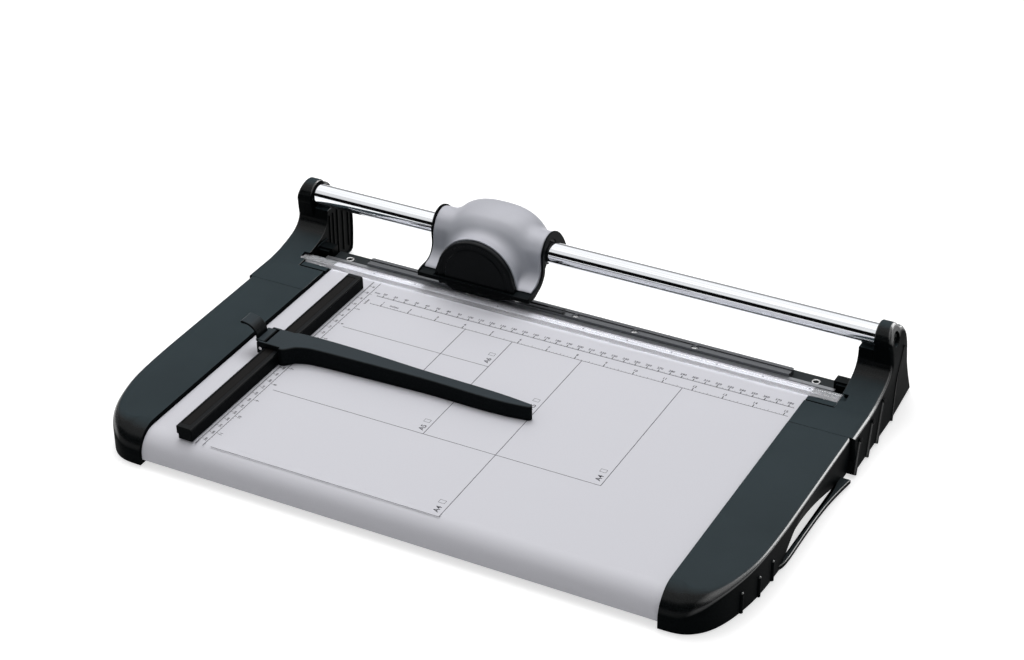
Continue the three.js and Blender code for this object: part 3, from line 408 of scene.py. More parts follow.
def smoothed(mesh, rounds):
    """Evens out the steps that a net leaves."""
    bm = bmesh.new()
    bm.from_mesh(mesh)
    for _ in range(rounds):
        bmesh.ops.smooth_vert(bm, verts=bm.verts, factor=0.5, use_axis_x=True, use_axis_y=True,
                              use_axis_z=True)
    return stored(bm, mesh)


class Tree:
    """A node tree, written from its last node back to its textures."""

    def __init__(self, tree):
        self.tree = tree

    def add(self, kind, **inputs):
        node = self.tree.nodes.new(kind)
        for name, value in inputs.items():
            self.put(value, node.inputs[name.replace("_", " ")])
        return node

    def put(self, value, socket):
        """Links a socket's output to an input, or sets a plain value on it."""
        if hasattr(value, "is_output"):
            self.tree.links.new(value, socket)
        else:
            socket.default_value = value

    def ramp(self, fac, stops):
        node = self.add("ShaderNodeValToRGB", Fac=fac)
        ramp = node.color_ramp
        while len(ramp.elements) < len(stops):
            ramp.elements.new(0.5)
        for element, (at, colour) in zip(ramp.elements, stops):
            element.position = at
            element.color = (*colour, 1.0)
        return node.outputs["Color"]

    def choose(self, fac, first, second):
        """One shader or another, by a socket."""
        node = self.add("ShaderNodeMixShader")
        for value, socket in zip((fac, first, second), node.inputs):
            self.put(value, socket)
        return node.outputs[0]

    def compute(self, operation, *values):
        node = self.add("ShaderNodeMath")
        node.operation = operation
        for value, socket in zip(values, node.inputs):
            self.put(value, socket)
        return node.outputs[0]


class Nodes(Tree):
    """A material's node tree."""

    def __init__(self, name):
        self.mat = bpy.data.materials.new(name)
        self.mat.use_nodes = True
        super().__init__(self.mat.node_tree)
        self.tree.nodes.clear()
        self.shader = self.add("ShaderNodeBsdfPrincipled")
        self.out = self.add("ShaderNodeOutputMaterial", Surface=self.shader.outputs[0])
        self.coord = self.add("ShaderNodeTexCoord").outputs["Object"]

    def noise(self, scale, detail=2.0, rough=0.5, stretch=(1, 1, 1)):
        at = self.add("ShaderNodeMapping", Scale=stretch, Vector=self.coord)
        return self.add("ShaderNodeTexNoise", Scale=scale, Detail=detail, Roughness=rough,
                        Vector=at.outputs[0]).outputs["Fac"]

    def map(self, fac, low, high, from_low=0.3, from_high=0.7):
        return self.add("ShaderNodeMapRange", From_Min=from_low, From_Max=from_high,
                        To_Min=low, To_Max=high, Value=fac).outputs["Result"]

    def mix(self, fac, a, b):
        node = self.add("ShaderNodeMix")
        node.data_type = "RGBA"
        for value, socket in ((fac, node.inputs[0]), (a, node.inputs[6]), (b, node.inputs[7])):
            self.put(value, socket)
        return node.outputs[2]

    def facing(self, axis):
        """How far the surface faces along an axis, from -1 to 1."""
        normal = self.add("ShaderNodeNewGeometry").outputs["Normal"]
        return self.add("ShaderNodeSeparateXYZ", Vector=normal).outputs[axis]

    def edges(self):
        """How worn an edge is: 1 on an outward edge, 0 on flat ground."""
        node = self.add("ShaderNodeNewGeometry")
        return self.map(node.outputs["Pointiness"], 0.0, 1.0, 0.53, 0.6)

    def bump(self, height, strength, distance, soften=0.0):
        node = self.add("ShaderNodeBump", Strength=strength, Distance=distance, Height=height)
        if soften:
            rim = self.add("ShaderNodeBevel", Radius=soften)
            rim.samples = 4
            self.put(rim.outputs[0], node.inputs["Normal"])
        self.put(node.outputs[0], self.shader.inputs["Normal"])

    def set(self, **values):
        for name, value in values.items():
            self.put(value, self.shader.inputs[name.replace("_", " ")])


STREAKS = 900.0


def times(colour, k):
    return tuple(c * k for c in colour)


def plastic(name, top, shaded_wall_colour, rough, grain=1500.0, depth=0.00003, gloss=0.25, soften=0.0005,
            wall_gloss=0.06, wear=0.0, lit_and_matte_top_from=(0.25, 0.9), rim_gloss=None, rim_rough=0.2):
    """Moulded plastic: a fine grain, a drift of tone and gloss, painted light that makes it paler
    on top and darker on its walls, and paler worn edges.
    """
    m = Nodes(name)
    drift = m.noise(14.0, 3.0)
    fine = m.noise(grain, 4.0, 0.6)
    speck = m.add("ShaderNodeTexVoronoi", Scale=grain * 0.8, Vector=m.coord).outputs["Distance"]
    lit_top_tone = m.ramp(drift, [(0.3, times(top, 0.9)), (0.7, times(top, 1.1))])
    shaded_wall_tone = m.ramp(drift, [(0.3, times(shaded_wall_colour, 0.88)), (0.7, times(shaded_wall_colour, 1.12))])
    up = m.facing("Z")
    m.set(Specular_IOR_Level=gloss)
    # Painted light and shade: upward faces take the lit top colour and walls the darker shaded
    # colour, by which way each faces.
    tone = m.mix(m.map(up, 0.0, 1.0, *lit_and_matte_top_from), shaded_wall_tone, lit_top_tone)
    if wear:
        tone = m.mix(m.map(m.edges(), 0.0, 0.3 * wear, 0.0, 1.0), tone, (*times(top, 1.5), 1))
    m.set(Base_Color=m.mix(m.map(speck, 0.08, 0.0, 0.1, 0.6), tone, (*times(top, 1.7), 1)),
          Roughness=m.map(fine, rough - 0.05, rough + 0.07),
          Specular_IOR_Level=m.map(up, wall_gloss, gloss, 0.1, 0.9))
    if rim_gloss:
        # A textured deck with polished rims and walls, as the mould leaves them.
        def greys(*stops):
            return m.ramp(up, [(at, (v, v, v)) for at, v in stops])

        start, end = lit_and_matte_top_from
        polish = min(rim_gloss, 0.2)
        slant = greys((0.2, wall_gloss), (0.45, polish), (start, polish), (end, gloss))
        rim = greys((0.2, wall_gloss), (0.4, rim_gloss), (0.93, rim_gloss), (0.985, gloss))
        roughs = greys((0.2, rough), (0.45, rim_rough), (start, rim_rough), (end, rough))
        aside = m.map(m.compute("ABSOLUTE", m.facing("X")), 0.0, 1.0, 0.28, 0.45)
        m.set(Specular_IOR_Level=m.mix(aside, slant, rim),
              Roughness=m.mix(m.map(fine, 0.0, 0.12), roughs, (1, 1, 1, 1)))
    m.bump(fine, 0.15 if rim_gloss else 0.35, depth, soften)
    return m.mat


def metal(name, colour, rough, stretch, depth):
    """Drawn or ground metal with streaks along one direction."""
    m = Nodes(name)
    streak = m.noise(STREAKS, 3.0, 0.6, stretch)
    stain = m.noise(30.0, 3.0)
    low, high = times(colour, 0.86), times(colour, 1.08)
    tone = m.ramp(streak, [(0.3, low), (0.7, high)])
    m.set(Base_Color=m.mix(m.map(stain, 0.0, 0.12), tone, (*times(colour, 0.7), 1)),
          Metallic=1.0, Roughness=m.map(streak, rough - 0.04, rough + 0.07))
    if depth:
        m.bump(streak, 0.25, depth, 0.0002)
    return m.mat


def paint(name, colour):
    """Powder paint: tiny orange-peel dimples and a barely seen fleck."""
    m = Nodes(name)
    peel = m.noise(1300.0, 2.0, 0.5)
    fleck = m.noise(4200.0, 2.0, 0.7)
    cloud = m.noise(5.0, 2.0)
    flecked = m.ramp(fleck, [(0.36, times(colour, 0.955)), (0.62, times(colour, 1.02))])
    m.set(Base_Color=m.mix(m.map(cloud, 0.0, 0.5), flecked, (*times(colour, 0.985), 1)),
          Roughness=m.map(peel, 0.4, 0.52), Specular_IOR_Level=0.3)
    m.bump(peel, 0.2, 0.00002, 0.0003)
    return m.mat


def clear(name):
    """Clear acrylic: it lets light and shadows through, with fine rub marks on top."""
    m = Nodes(name)
    rub = m.noise(700.0, 4.0, 0.6, (0.03, 1, 1))
    m.set(Base_Color=m.ramp(rub, [(0.3, (0.93, 0.94, 0.97)), (0.7, (0.98, 0.98, 1.0))]),
          Roughness=m.map(rub, 0.0, 0.04), Transmission_Weight=0.84, IOR=1.47)
    shadow = m.add("ShaderNodeLightPath").outputs["Is Shadow Ray"]
    through = m.add("ShaderNodeBsdfTransparent").outputs[0]
    m.put(m.choose(shadow, m.shader.outputs[0], through), m.out.inputs["Surface"])
    return m.mat


def hatched(name, colour, rough):
    """Ground steel crossed by a fine pressed hatching."""
    m = Nodes(name)
    streak = m.noise(STREAKS, 3.0, 0.6, (0.02, 1, 1))
    wave = m.add("ShaderNodeTexWave", Scale=420.0, Distortion=1.2, Vector=m.coord)
    wave.wave_type = "BANDS"
    wave.bands_direction = "DIAGONAL"
    tone = m.ramp(streak, [(0.3, times(colour, 0.85)), (0.7, times(colour, 1.1))])
    m.set(Base_Color=m.mix(m.map(wave.outputs["Fac"], 0.0, 0.25, 0.2, 0.8), tone,
                           (*times(colour, 0.5), 1)),
          Metallic=0.9, Roughness=m.map(streak, rough - 0.05, rough + 0.1))
    m.bump(wave.outputs["Fac"], 0.3, 0.00008)
    return m.mat


# Each look's packed slot and its material.
# A plastic's two colours are a lit top and a darker shaded wall: painted light and shade.
LOOKS = {
    "table": ("table_paint", paint("table_paint", (0.63, 0.63, 0.675))),
    "slate": ("slate_plastic", plastic(
        "slate", (0.019, 0.0275, 0.0315), (0.0015, 0.002, 0.0022), 0.5, gloss=0.06,
        wall_gloss=0.01, lit_and_matte_top_from=(0.84, 0.985), rim_gloss=1.0)),
    "arm": ("slate_plastic", plastic(
        "arm_slate", (0.028, 0.037, 0.043), (0.003, 0.004, 0.0045), 0.42, gloss=0.1,
        wall_gloss=0.02, lit_and_matte_top_from=(0.7, 0.97), rim_gloss=0.2, rim_rough=0.25)),
    "black": ("black_plastic", plastic(
        "black", (0.005, 0.007, 0.008), (0.0015, 0.002, 0.0022), 0.4, gloss=0.08,
        wall_gloss=0.02, wear=0.3)),
    "gloss": ("gloss_black", plastic(
        "gloss_black", (0.005, 0.006, 0.007), (0.003, 0.004, 0.0045), 0.24, 2600.0, 0.00001,
        0.15, wall_gloss=0.06, wear=0.3)),
    "inlay": ("inlay_plastic", plastic(
        "inlay", (0.0075, 0.0068, 0.0066), (0.004, 0.004, 0.004), 0.3, 2600.0, 0.00001, 0.05,
        wear=1.0)),
    "guide": ("black_plastic", plastic(
        "guide_black", (0.0065, 0.0075, 0.0085), (0.002, 0.0028, 0.0032), 0.36, gloss=0.08,
        wall_gloss=0.015, lit_and_matte_top_from=(0.84, 0.985), rim_gloss=0.2)),
    "silver": ("silver_plastic", plastic(
        "silver", (0.46, 0.465, 0.51), (0.31, 0.325, 0.36), 0.38, 3000.0, 0.000012, 0.5,
        wall_gloss=0.4)),
    "clear": ("clear_plastic", clear("clear")),
    "steel": ("screw_steel", metal("steel", (0.62, 0.62, 0.61), 0.3, (0.01, 1, 1), 0.00001)),
    "bright": ("screw_steel", metal(
        "bright_steel", (0.85, 0.85, 0.85), 0.2, (1, 1, 1), 0.000005)),
    "chrome": ("rail_chrome", metal("chrome", (0.88, 0.9, 0.93), 0.07, (0.002, 1, 1), 0.0)),
    "alu": ("profile_aluminium", metal(
        "aluminium", (0.19, 0.197, 0.21), 0.1, (0.005, 1, 1), 0.000004)),
    "knife": ("knife_steel", hatched("knife_steel", (0.42, 0.43, 0.45), 0.35)),
    "rubber": ("foot_rubber", plastic(
        "rubber", (0.012, 0.012, 0.012), (0.010, 0.010, 0.010), 0.85, gloss=0.1, wear=1.0)),
    "ink": ("table_paint", plastic(
        "ink", (0.05, 0.05, 0.058), (0.05, 0.05, 0.058), 0.6, 2600.0, 0.000004, 0.1, 0.0,
        wear=1.0)),
    "beam": ("beam_paint", plastic(
        "beam_paint", (0.020, 0.025, 0.028), (0.010, 0.012, 0.013), 0.5, gloss=0.2, wear=1.0)),
}


def dress(look, *names):
    """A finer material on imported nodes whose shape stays."""
    for name in names:
        slots = nodes[name].data.materials
        slots.clear()
        slots.append(LOOKS[look][1])


def both(stem):
    return [f"{stem}_left", f"{stem}_right"]


def weigh_normals(obj):
    """Normals that follow the large faces, so that flat ground stays evenly lit."""
    weigh = obj.modifiers.new("weigh", "WEIGHTED_NORMAL")
    weigh.keep_sharp = True
    mesh = baked(obj)
    obj.modifiers.clear()
    old, name = obj.data, obj.data.name
    obj.data = mesh
    bpy.data.meshes.remove(old)
    mesh.name = name


def show(name, look, body, mesh, *replaced, sharp=32.0):
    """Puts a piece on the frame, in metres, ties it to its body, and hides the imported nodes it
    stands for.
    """
    mesh.transform(Matrix.Scale(TO_METRES, 4) @ Matrix.Translation((0, SHIFT_Y, STAND)))
    mesh.name = name
    mesh.materials.clear()
    slot, material = LOOKS[look]
    mesh.materials.append(material)
    mesh.shade_smooth()
    mesh.set_sharp_from_angle(angle=math.radians(sharp))
    obj = placed(name, mesh)
    weigh_normals(obj)
    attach(obj, body)
    if replaced:
        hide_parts(*replaced)


def show_pair(stem, look, mesh, sharp):
    """A right-hand piece of the base on the right, and mirrored on the left."""
    left = mirrored(mesh)
    show(f"{stem}_shell_right", look, "base", mesh, f"{stem}_right", sharp=sharp)
    show(f"{stem}_shell_left", look, "base", left, f"{stem}_left", sharp=sharp)


def table_sheet():
    outer = [(SHEET_REAR, -SKIRT), (SHEET_REAR, -0.5), (SHEET_REAR - 0.15, -0.15),
             (SHEET_REAR - 0.5, 0), *arc(SHEET_FRONT + NOSE_R, -NOSE_R, NOSE_R, 90, 180, 28),
             (SHEET_FRONT, -APRON)]
    inner = [(SHEET_FRONT + SHEET_THICK, -APRON),
             *arc(SHEET_FRONT + NOSE_R, -NOSE_R, NOSE_R - SHEET_THICK, 180, 90, 28),
             (SHEET_REAR - SHEET_THICK, -SHEET_THICK), (SHEET_REAR - SHEET_THICK, -SKIRT)]
    body = prism("x", outer + inner, -SHEET_HALF, SHEET_HALF, 0.5, 4)
    sides = [block(*sorted((s * (SHEET_HALF - 0.4), s * (SHEET_HALF - SHEET_THICK))),
                   SHEET_FRONT + NOSE_R, SHEET_REAR - 0.8, -SKIRT + SHEET_THICK, -0.8)
             for s in (-1, 1)]
    return joined(body, *sides)


# Printed marks. Places are measured from the zero of the rulers, at this X.
PRINT_X = -173.5
INK_LOW, INK_HIGH = 0.01, 0.05
INCH = 25.4
METRIC_Y, INCH_Y = -51.0, -63.8


def stroke(parts, x0, y0, x1, y1, wide):
    """A printed line as a thin closed bar between two places."""
    a, b = Vector((x0 + PRINT_X, y0)), Vector((x1 + PRINT_X, y1))
    side = (b - a).normalized().orthogonal() * wide / 2
    parts.append(prism("z", [tuple(p) for p in (a - side, b - side, b + side, a + side)],
                       INK_LOW, INK_HIGH))


def lettering(parts, text, x, y, size, turn=0.0):
    data = bpy.data.curves.new("lettering", "FONT")
    data.body = text
    data.size = size
    data.align_x = "CENTER"
    data.align_y = "CENTER"
    data.resolution_u = 2
    data.extrude = (INK_HIGH - INK_LOW) / 2
    data.offset = 0.06
    obj = placed("lettering", data)
    mesh = baked(obj)
    bpy.data.objects.remove(obj)
    mesh.transform(Matrix.Translation((x + PRINT_X, y, (INK_LOW + INK_HIGH) / 2))
                   @ Matrix.Rotation(math.radians(turn), 4, "Z"))
    parts.append(mesh)


def ticks(parts, numbers, unit, long, middle, sizes, line):
    """A ruler's marks: (length, width) for the long, the middle and the short ones."""
    for n in numbers:
        reach, wide = sizes[0 if n % long == 0 else 1 if n % middle == 0 else 2]
        stroke(parts, *line(n * unit, reach), wide)


def rulers(parts):
    """The two rulers behind the formats."""
    end = 385
    stroke(parts, 14.5, METRIC_Y, end, METRIC_Y, 0.45)
    ticks(parts, range(15, end), 1, 10, 5, ((3.0, 0.75), (1.7, 0.3), (1.1, 0.22)),
          lambda at, reach: (at, METRIC_Y, at, METRIC_Y + reach))
    for mm in range(20, 390, 10):
        lettering(parts, str(mm), mm, METRIC_Y + 5.0, 3.5)
    lettering(parts, "mm", 13.0, METRIC_Y + 4.4, 3.3)
    stroke(parts, 15.7, INCH_Y, end, INCH_Y, 0.45)
    ticks(parts, range(5, 121), INCH / 8, 8, 4, ((3.6, 0.75), (2.0, 0.3), (1.2, 0.22)),
          lambda at, reach: (at, INCH_Y, at, INCH_Y + reach))
    for inch in range(1, 16):
        lettering(parts, str(inch), inch * INCH, INCH_Y + 5.8, 3.8)
    lettering(parts, "inches", 36.5, INCH_Y + 4.0, 3.3)


def side_ruler(parts):
    """The ruler along the guide bar, in millimetres on its left and inches on its right."""
    left, right = 1.0, 7.6
    for x in (left, right):
        stroke(parts, x, -298.3, x, -32.2, 0.45)
    ticks(parts, range(33, 299), 1, 10, 5, ((2.3, 0.4), (1.5, 0.22), (1.0, 0.22)),
          lambda at, reach: (left, -at, left + reach, -at))
    for mm in range(40, 300, 10):
        lettering(parts, str(mm), 5.2, -mm, 2.7, 90)
    ticks(parts, range(10, 94), INCH / 8, 8, 8, ((2.0, 0.4), None, (1.0, 0.22)),
          lambda at, reach: (right, -at, right + reach, -at))
    for inch in range(3, 12):
        lettering(parts, str(inch), 11.8, -inch * INCH, 3.8, 90)
    lettering(parts, "inches", 11.6, -62.5, 3.0, 90)


def formats(parts):
    for x, low, high in ((105, -148, INCH_Y), (148, -210, INCH_Y), (210, -297, INCH_Y),
                         (297, -210, INCH_Y)):
        stroke(parts, x, low, x, high, 0.5)
    for y, right in ((-105, 148), (-148, 210), (-210, 297), (-297, 210)):
        stroke(parts, 14.2, y, right, y, 0.45)
    for text, x, y in (("A6", 143.3, -97.0), ("A5", 143.6, -202.5), ("A5", 205.0, -140.0),
                       ("A4", 204.5, -289.0), ("A4", 292.0, -201.5)):
        lettering(parts, text, x, y, 6.4, 90)
        left, low, right, high = x - 3.7, y + 7.7, x + 1.3, y + 11.3
        corners = [(left, low), (right, low), (right, high), (left, high)]
        for p, q in zip(corners, corners[1:] + corners[:1]):
            stroke(parts, *p, *q, 0.28)


def printed_marks():
    parts = []
    rulers(parts)
    side_ruler(parts)
    formats(parts)
    return gathered(*parts)


def cap_body():
    """Front cap: one skin whose rim rolls wide at the nose and tightly along its side."""
    reach = 8.0
    corner = spline(within(CAP_CORNER, INNER, CAP_OUT, CAP_FRONT, CORNER_END), 4)
    path = [(INNER - reach, CAP_FRONT), *corner]
    path += [(CAP_OUT, CORNER_END + (SEAM + reach - CORNER_END) * i / 30) for i in range(1, 31)]
    path = evened(path, 1.2, 40)
    normals = [Vector((-t.y, t.x)) for t in headings(path)]
    rolls = [DECK_EDGE + (NOSE_ROLL - DECK_EDGE) * abs(n.y) ** 1.6 for n in normals]
    wall_rows = [i / 8 for i in range(9)]
    shares = wall_rows + quarter(14)[1:]
    verts, rows = [], len(shares)
    for k, share in enumerate(shares):
        for p, n, roll in zip(path, normals, rolls):
            if k < len(wall_rows):
                z = DECK_BOTTOM + (DECK_TOP - roll - DECK_BOTTOM) * share
                verts.append((p[0], p[1], z))
            else:
                move = roll * (1 - math.cos(share))
                z = DECK_TOP - roll * (1 - math.sin(share))
                verts.append((p[0] + n.x * move, p[1] + n.y * move, z))
        verts.append((INNER - reach, SEAM + reach,
                      DECK_BOTTOM + (DECK_TOP - DECK_BOTTOM) * k / (rows - 1)))
    return raw(verts, tube(rows, len(path) + 1))


def evened(points, step, rounds):
    """An open curve at even steps, with tight bends eased."""
    pts = np.array(points)
    along = np.concatenate([[0], np.cumsum(np.hypot(*np.diff(pts, axis=0).T))])
    at = np.linspace(0, along[-1], int(along[-1] / step))
    out = np.stack([np.interp(at, along, pts[:, k]) for k in (0, 1)], axis=1)
    for _ in range(rounds):
        out[1:-1] = out[1:-1] / 2 + (out[:-2] + out[2:]) / 4
    return [tuple(p) for p in out.tolist()]


def grip_scoop():
    """A leaning round cut in the outer wall, deep at the foot and gone at the deck."""
    depth, fade = 8.4, 27.0
    near, far = SEAM + (CAP_FRONT - SEAM) * 0.573, SEAM + (CAP_FRONT - SEAM) * 0.076
    middle, half = (near + far) / 2, (far - near) / 2
    radius = (half**2 + depth**2) / (2 * depth)
    verts, sides = [], 360
    for z in (DECK_BOTTOM - 2 * fade, DECK_BOTTOM + 2 * fade):
        shift = depth / fade * (z - DECK_BOTTOM)
        for t in quarter(sides, 4)[:-1]:
            verts.append((CAP_OUT - depth + radius + shift + radius * math.cos(t),
                          middle + radius * math.sin(t), z))
    return raw(verts, tube(2, sides))


def front_cap():
    """Front cap with its hollow, foot boss, grip scoop, grip bar and ribs."""
    margin, hollow_x = 20, CAP_OUT - 12.3
    keep = block(INNER, CAP_OUT + margin, CAP_FRONT - margin, SEAM - GAP, DECK_BOTTOM - 5,
                 DECK_TOP + 5)
    body = combine("INTERSECT", cap_body(), keep)
    hollow = within(CAP_CORNER, INNER + DECK_WALL, hollow_x, CAP_FRONT + 15, CORNER_END)
    hollow = [(INNER + DECK_WALL, SEAM - DECK_WALL), *spline(hollow, 3),
              (hollow_x, SEAM - DECK_WALL)]
    body = cut(body, prism("z", hollow, DECK_BOTTOM - 1, DECK_TOP - DECK_WALL), grip_scoop())
    body = joined(body, rod("z", 10, DECK_BOTTOM + 1, DECK_TOP - 1.6, *FRONT_FOOT, 48))
    body = cut(body, rod("z", FOOT_R, DECK_BOTTOM - 1, FOOT_SEAT, *FRONT_FOOT, 48))
    tip = CAP_OUT + 7.6
    rear, near = SEAM + (CAP_FRONT - SEAM) * 0.065, SEAM + (CAP_FRONT - SEAM) * 0.588
    lip = spline(within(GRIP_BAR, tip - 12.9, tip, near, rear), 5, closed=True)
    ribs = [rod("z", 1.6, DECK_BOTTOM, DECK_TOP - 12, x, y, 24, 1.5)
            for x, y in within(CAP_RIBS, INNER, CAP_OUT, CAP_FRONT, CORNER_END)]
    return joined(body, prism("z", lip, DECK_BOTTOM, DECK_BOTTOM + 4, 0.8), *ribs)


def crease_y(z):
    """Where the outer side of a tower bends towards the rear, at a height."""
    return CREASE_Y + CREASE_SLANT * z


def leaned(mesh):
    """The outer side leans inwards above the deck, and bends in behind a slanting crease."""
    bm = bmesh.new()
    bm.from_mesh(mesh)
    bmesh.ops.triangulate(bm, faces=[f for f in bm.faces if len(f.verts) > 4])
    cuts = [((0, 0, z), (0, 0, 1)) for z in np.arange(DECK_BOTTOM + 3, 60, 3.5)]
    cuts += [((0, y, 0), (0, 1, -CREASE_SLANT)) for y in np.arange(SEAM + 8.6, 50, 8)]
    for at, across in cuts:
        bmesh.ops.bisect_plane(bm, geom=[*bm.verts, *bm.edges, *bm.faces], dist=1e-4,
                               plane_co=at, plane_no=across)
    heights, moves = zip(*spline(LEAN, 6))
    for vert in bm.verts:
        x, y, z = vert.co
        if x > (CAP_IN + HOUSING_OUT) / 2:
            past = y - crease_y(z)
            bend = 0.05 * (past + math.hypot(past, 3.0)) / 2
            vert.co.x = x - float(np.interp(z, heights, moves)) - bend
    return stored(bm, mesh)


def ridge(path, wide, high):
    """A slanting ridge on the outer side of a tower, along a path of (y, z)."""
    left, right = [], []
    pts = [Vector(p) for p in spline(path, 8)]
    for p, t in zip(pts, headings(pts)):
        left.append(tuple(p + Vector((-t.y, t.x)) * wide / 2))
        right.append(tuple(p + Vector((t.y, -t.x)) * wide / 2))
    tip = arc(0, 0, wide / 2, 0, 180, 8)[1:-1]
    head = (pts[0] - pts[1]).normalized()
    turn = math.atan2(head.y, head.x) - math.pi / 2
    round_tip = [(pts[0].x + u * math.cos(turn) - v * math.sin(turn),
                  pts[0].y + u * math.sin(turn) + v * math.cos(turn)) for u, v in tip]
    outline = left[::-1] + round_tip[::-1] + right
    return leaned(prism("x", outline, WALL_OUT + 4, HOUSING_OUT + high, 0.3, 4, high))


def rear_housing():
    """Housing with its tower, the cap round the rail, pockets, ribs and the crease."""
    edge_roll, cap_roll = 2.6, 1.6
    front = within(TOWER_FRONT, POCKET_FRONT, TOWER_FACE, DECK_TOP, SHOULDER)
    rear = within(TOWER_FALL, TOWER_BACK, TOWER_REAR, DECK_BOTTOM, SHOULDER)
    wall_rear = within(INNER_WALL, RAIL_Y, RAIL_Y + 31.4, DECK_BOTTOM, SHOULDER)
    start = [(SEAM, DECK_BOTTOM), (SEAM, DECK_TOP)]
    front_line = spline(front, 6)
    rear_line = spline(rear, 6)
    outer = leaned(prism("x", start + front_line + rear_line, WALL_OUT, HOUSING_OUT, 0.4,
                         5, edge_roll))
    inner = prism("x", start + front_line + spline(wall_rear, 5), TOWER_IN, WALL_OUT + 3, 0.4)
    # The cap: round the rail in front, then falling behind it into the tower's rear line.
    crown = arc(RAIL_Y, RAIL_Z, RAIL_R + 3.5, 205, 24, 40)
    fall = [(30.6, 45.0), (34.8, 40.2), (37.8, 34.6), (39.4, 29.6)]
    waist = 10
    round_cap = [front_line[-waist], *crown[:-3], *spline([*crown[-3:], *fall], 3),
                 rear_line[waist + 2]]
    cap_part = leaned(prism("x", round_cap, CAP_IN, HOUSING_OUT, cap_roll, 5, edge_roll))
    # What joins the tower to the table: deck, pocket floor, its step, and the well's floor.
    join = TOWER_IN + 3.2
    blocks = [(SEAM, POCKET_FRONT, DECK_BOTTOM, DECK_TOP, 0.3),
              (POCKET_FRONT - 1, KNIFE_FRONT - GAP, DECK_BOTTOM, POCKET_FLOOR),
              (POCKET_FRONT + 2.8, POCKET_FRONT + 8.8, -1.0, 2.7, 0.2),
              (KNIFE_FRONT - GAP - 1, WELL_REAR, DECK_BOTTOM, -6.1)]
    body = joined(outer, inner, cap_part, *(block(INNER, join, *sizes) for sizes in blocks))
    recess = within(RECESS, RAIL_Y - 34.6, RAIL_Y + 30.3, DECK_BOTTOM + 0.8, SHOULDER - 0.9)
    outside = HOUSING_OUT + 1
    body = cut(
        body,
        # the rail, its screw and the counterbore
        rod("x", RAIL_R + GAP, TOWER_IN, RAIL_END + GAP, RAIL_Y, RAIL_Z, 96),
        rod("x", 2.4, RAIL_END, outside, RAIL_Y, RAIL_Z, 32),
        rod("x", 6.2, 262.9, outside, RAIL_Y, RAIL_Z, 64),
        # the knife, the strip's end with its spring, the side cover and the foot
        block(0, 230.3, KNIFE_FRONT - GAP, KNIFE_REAR + GAP, -8.3, 0),
        block(0, 245.3, STRIP_FRONT - GAP, STRIP_REAR + GAP, POCKET_FLOOR, 6.0),
        rod("z", 3.3, -13.4, 1, 227.55, -26.15, 32),
        prism("x", spline(recess, 4, closed=True), TOWER_IN - 1, TOWER_IN + 2.4),
        rod("z", FOOT_R, DECK_BOTTOM - 1, FOOT_SEAT, *REAR_FOOT, 48))
    ribs = [ridge([(y, z), (y + (DECK_BOTTOM - z) * 0.7, DECK_BOTTOM)], 4.6, 1.2)
            for y, z in within(TOWER_RIBS, SEAM, TOWER_REAR, DECK_BOTTOM, SHOULDER)]
    line = [(crease_y(z), z) for z in (26.5, 15.0, 0.0, -14.0, DECK_BOTTOM)]
    return joined(body, *ribs, ridge(line, 2.0, 0.9))


def screw(x, y, seat, r, high, slot_long):
    """A round-headed screw with a cross recess."""
    crown = [(r * math.cos(t) ** 0.6, seat + high * math.sin(t)) for t in quarter(7)[:-1]]
    body = turned("z", [(0, seat - 1), (r, seat - 1), *crown, (0, seat + high)], x, y, 48)
    arms = [block(x - u, x + u, y - v, y + v, seat + high * 0.35, seat + high + 1)
            for u, v in ((slot_long, 0.35), (0.35, slot_long))]
    return cut(body, *arms)


def ring_screw(x, y, seat, r, high, hole):
    """A screw with a bright rounded rim round a socket; a separate black disc of painted shade
    makes the socket dark.
    """
    half = high / 2
    rim = arc(r - half, seat + half, half, 0, 180, 12)
    return turned("z", [(0, seat - 1), (r, seat - 1), *rim, (hole, seat + half),
                        (hole, seat + 0.15), (0, seat + 0.15)], x, y, 56)


def rail():
    inner, end, edge = RAIL_R - 1.6, RAIL_END, 0.5
    return turned("x", [(inner, -end), (RAIL_R - edge, -end), (RAIL_R, -end + edge),
                        (RAIL_R, end - edge), (RAIL_R - edge, end), (inner, end)],
                  RAIL_Y, RAIL_Z, 128)


def guide_bar():
    left, right, top = GUIDE_RIGHT - GUIDE_WIDE, GUIDE_RIGHT, GUIDE_TOP
    points = [(left + 1.5, GAP), (left + 1.5, 4.3), (left + 1.2, 4.6), (left + 0.3, 4.6),
              (left, 4.9), *arc(left + 0.6, top - 0.6, 0.6, 180, 90, 4),
              *arc(right - 2.2, top - 2.2, 2.2, 90, 0, 8), (right, GAP + 0.2), (right - 0.2, GAP)]
    body = prism("y", points, GUIDE_FRONT, GUIDE_REAR, 0.5, 4)
    return cut(body, block(left + 1.7, left + 9.7, GUIDE_FRONT + 5, GUIDE_REAR - 5, top - 0.8,
                           top + 1))


def guide_inlay():
    left = GUIDE_RIGHT - GUIDE_WIDE + 1.7 + GAP
    return block(left, left + 8 - 2 * GAP, GUIDE_FRONT + 5 + GAP, GUIDE_REAR - 5 - GAP,
                 GUIDE_TOP - 0.65, GUIDE_TOP - 0.15, 0.15)


def clamp_strip():
    """Clear strip with a raised front lip, relieved over the springs at its ends."""
    shares = [(0, 0), (0, 0.88), (0.04, 1), (0.17, 1), (0.27, 0.71), (0.72, 0.61), (0.78, 0.37),
              (1, 0.24), (1, 0)]
    points = within(shares, STRIP_FRONT, STRIP_REAR, STRIP_LOW, STRIP_TOP)
    body = prism("x", points, STRIP_LEFT, STRIP_RIGHT, 0.3, 3)
    seats = [block(*sorted((s * 222.0, s * 246.0)), -33, -18, 0.5, 1.75) for s in (-1, 1)]
    return cut(body, *seats)


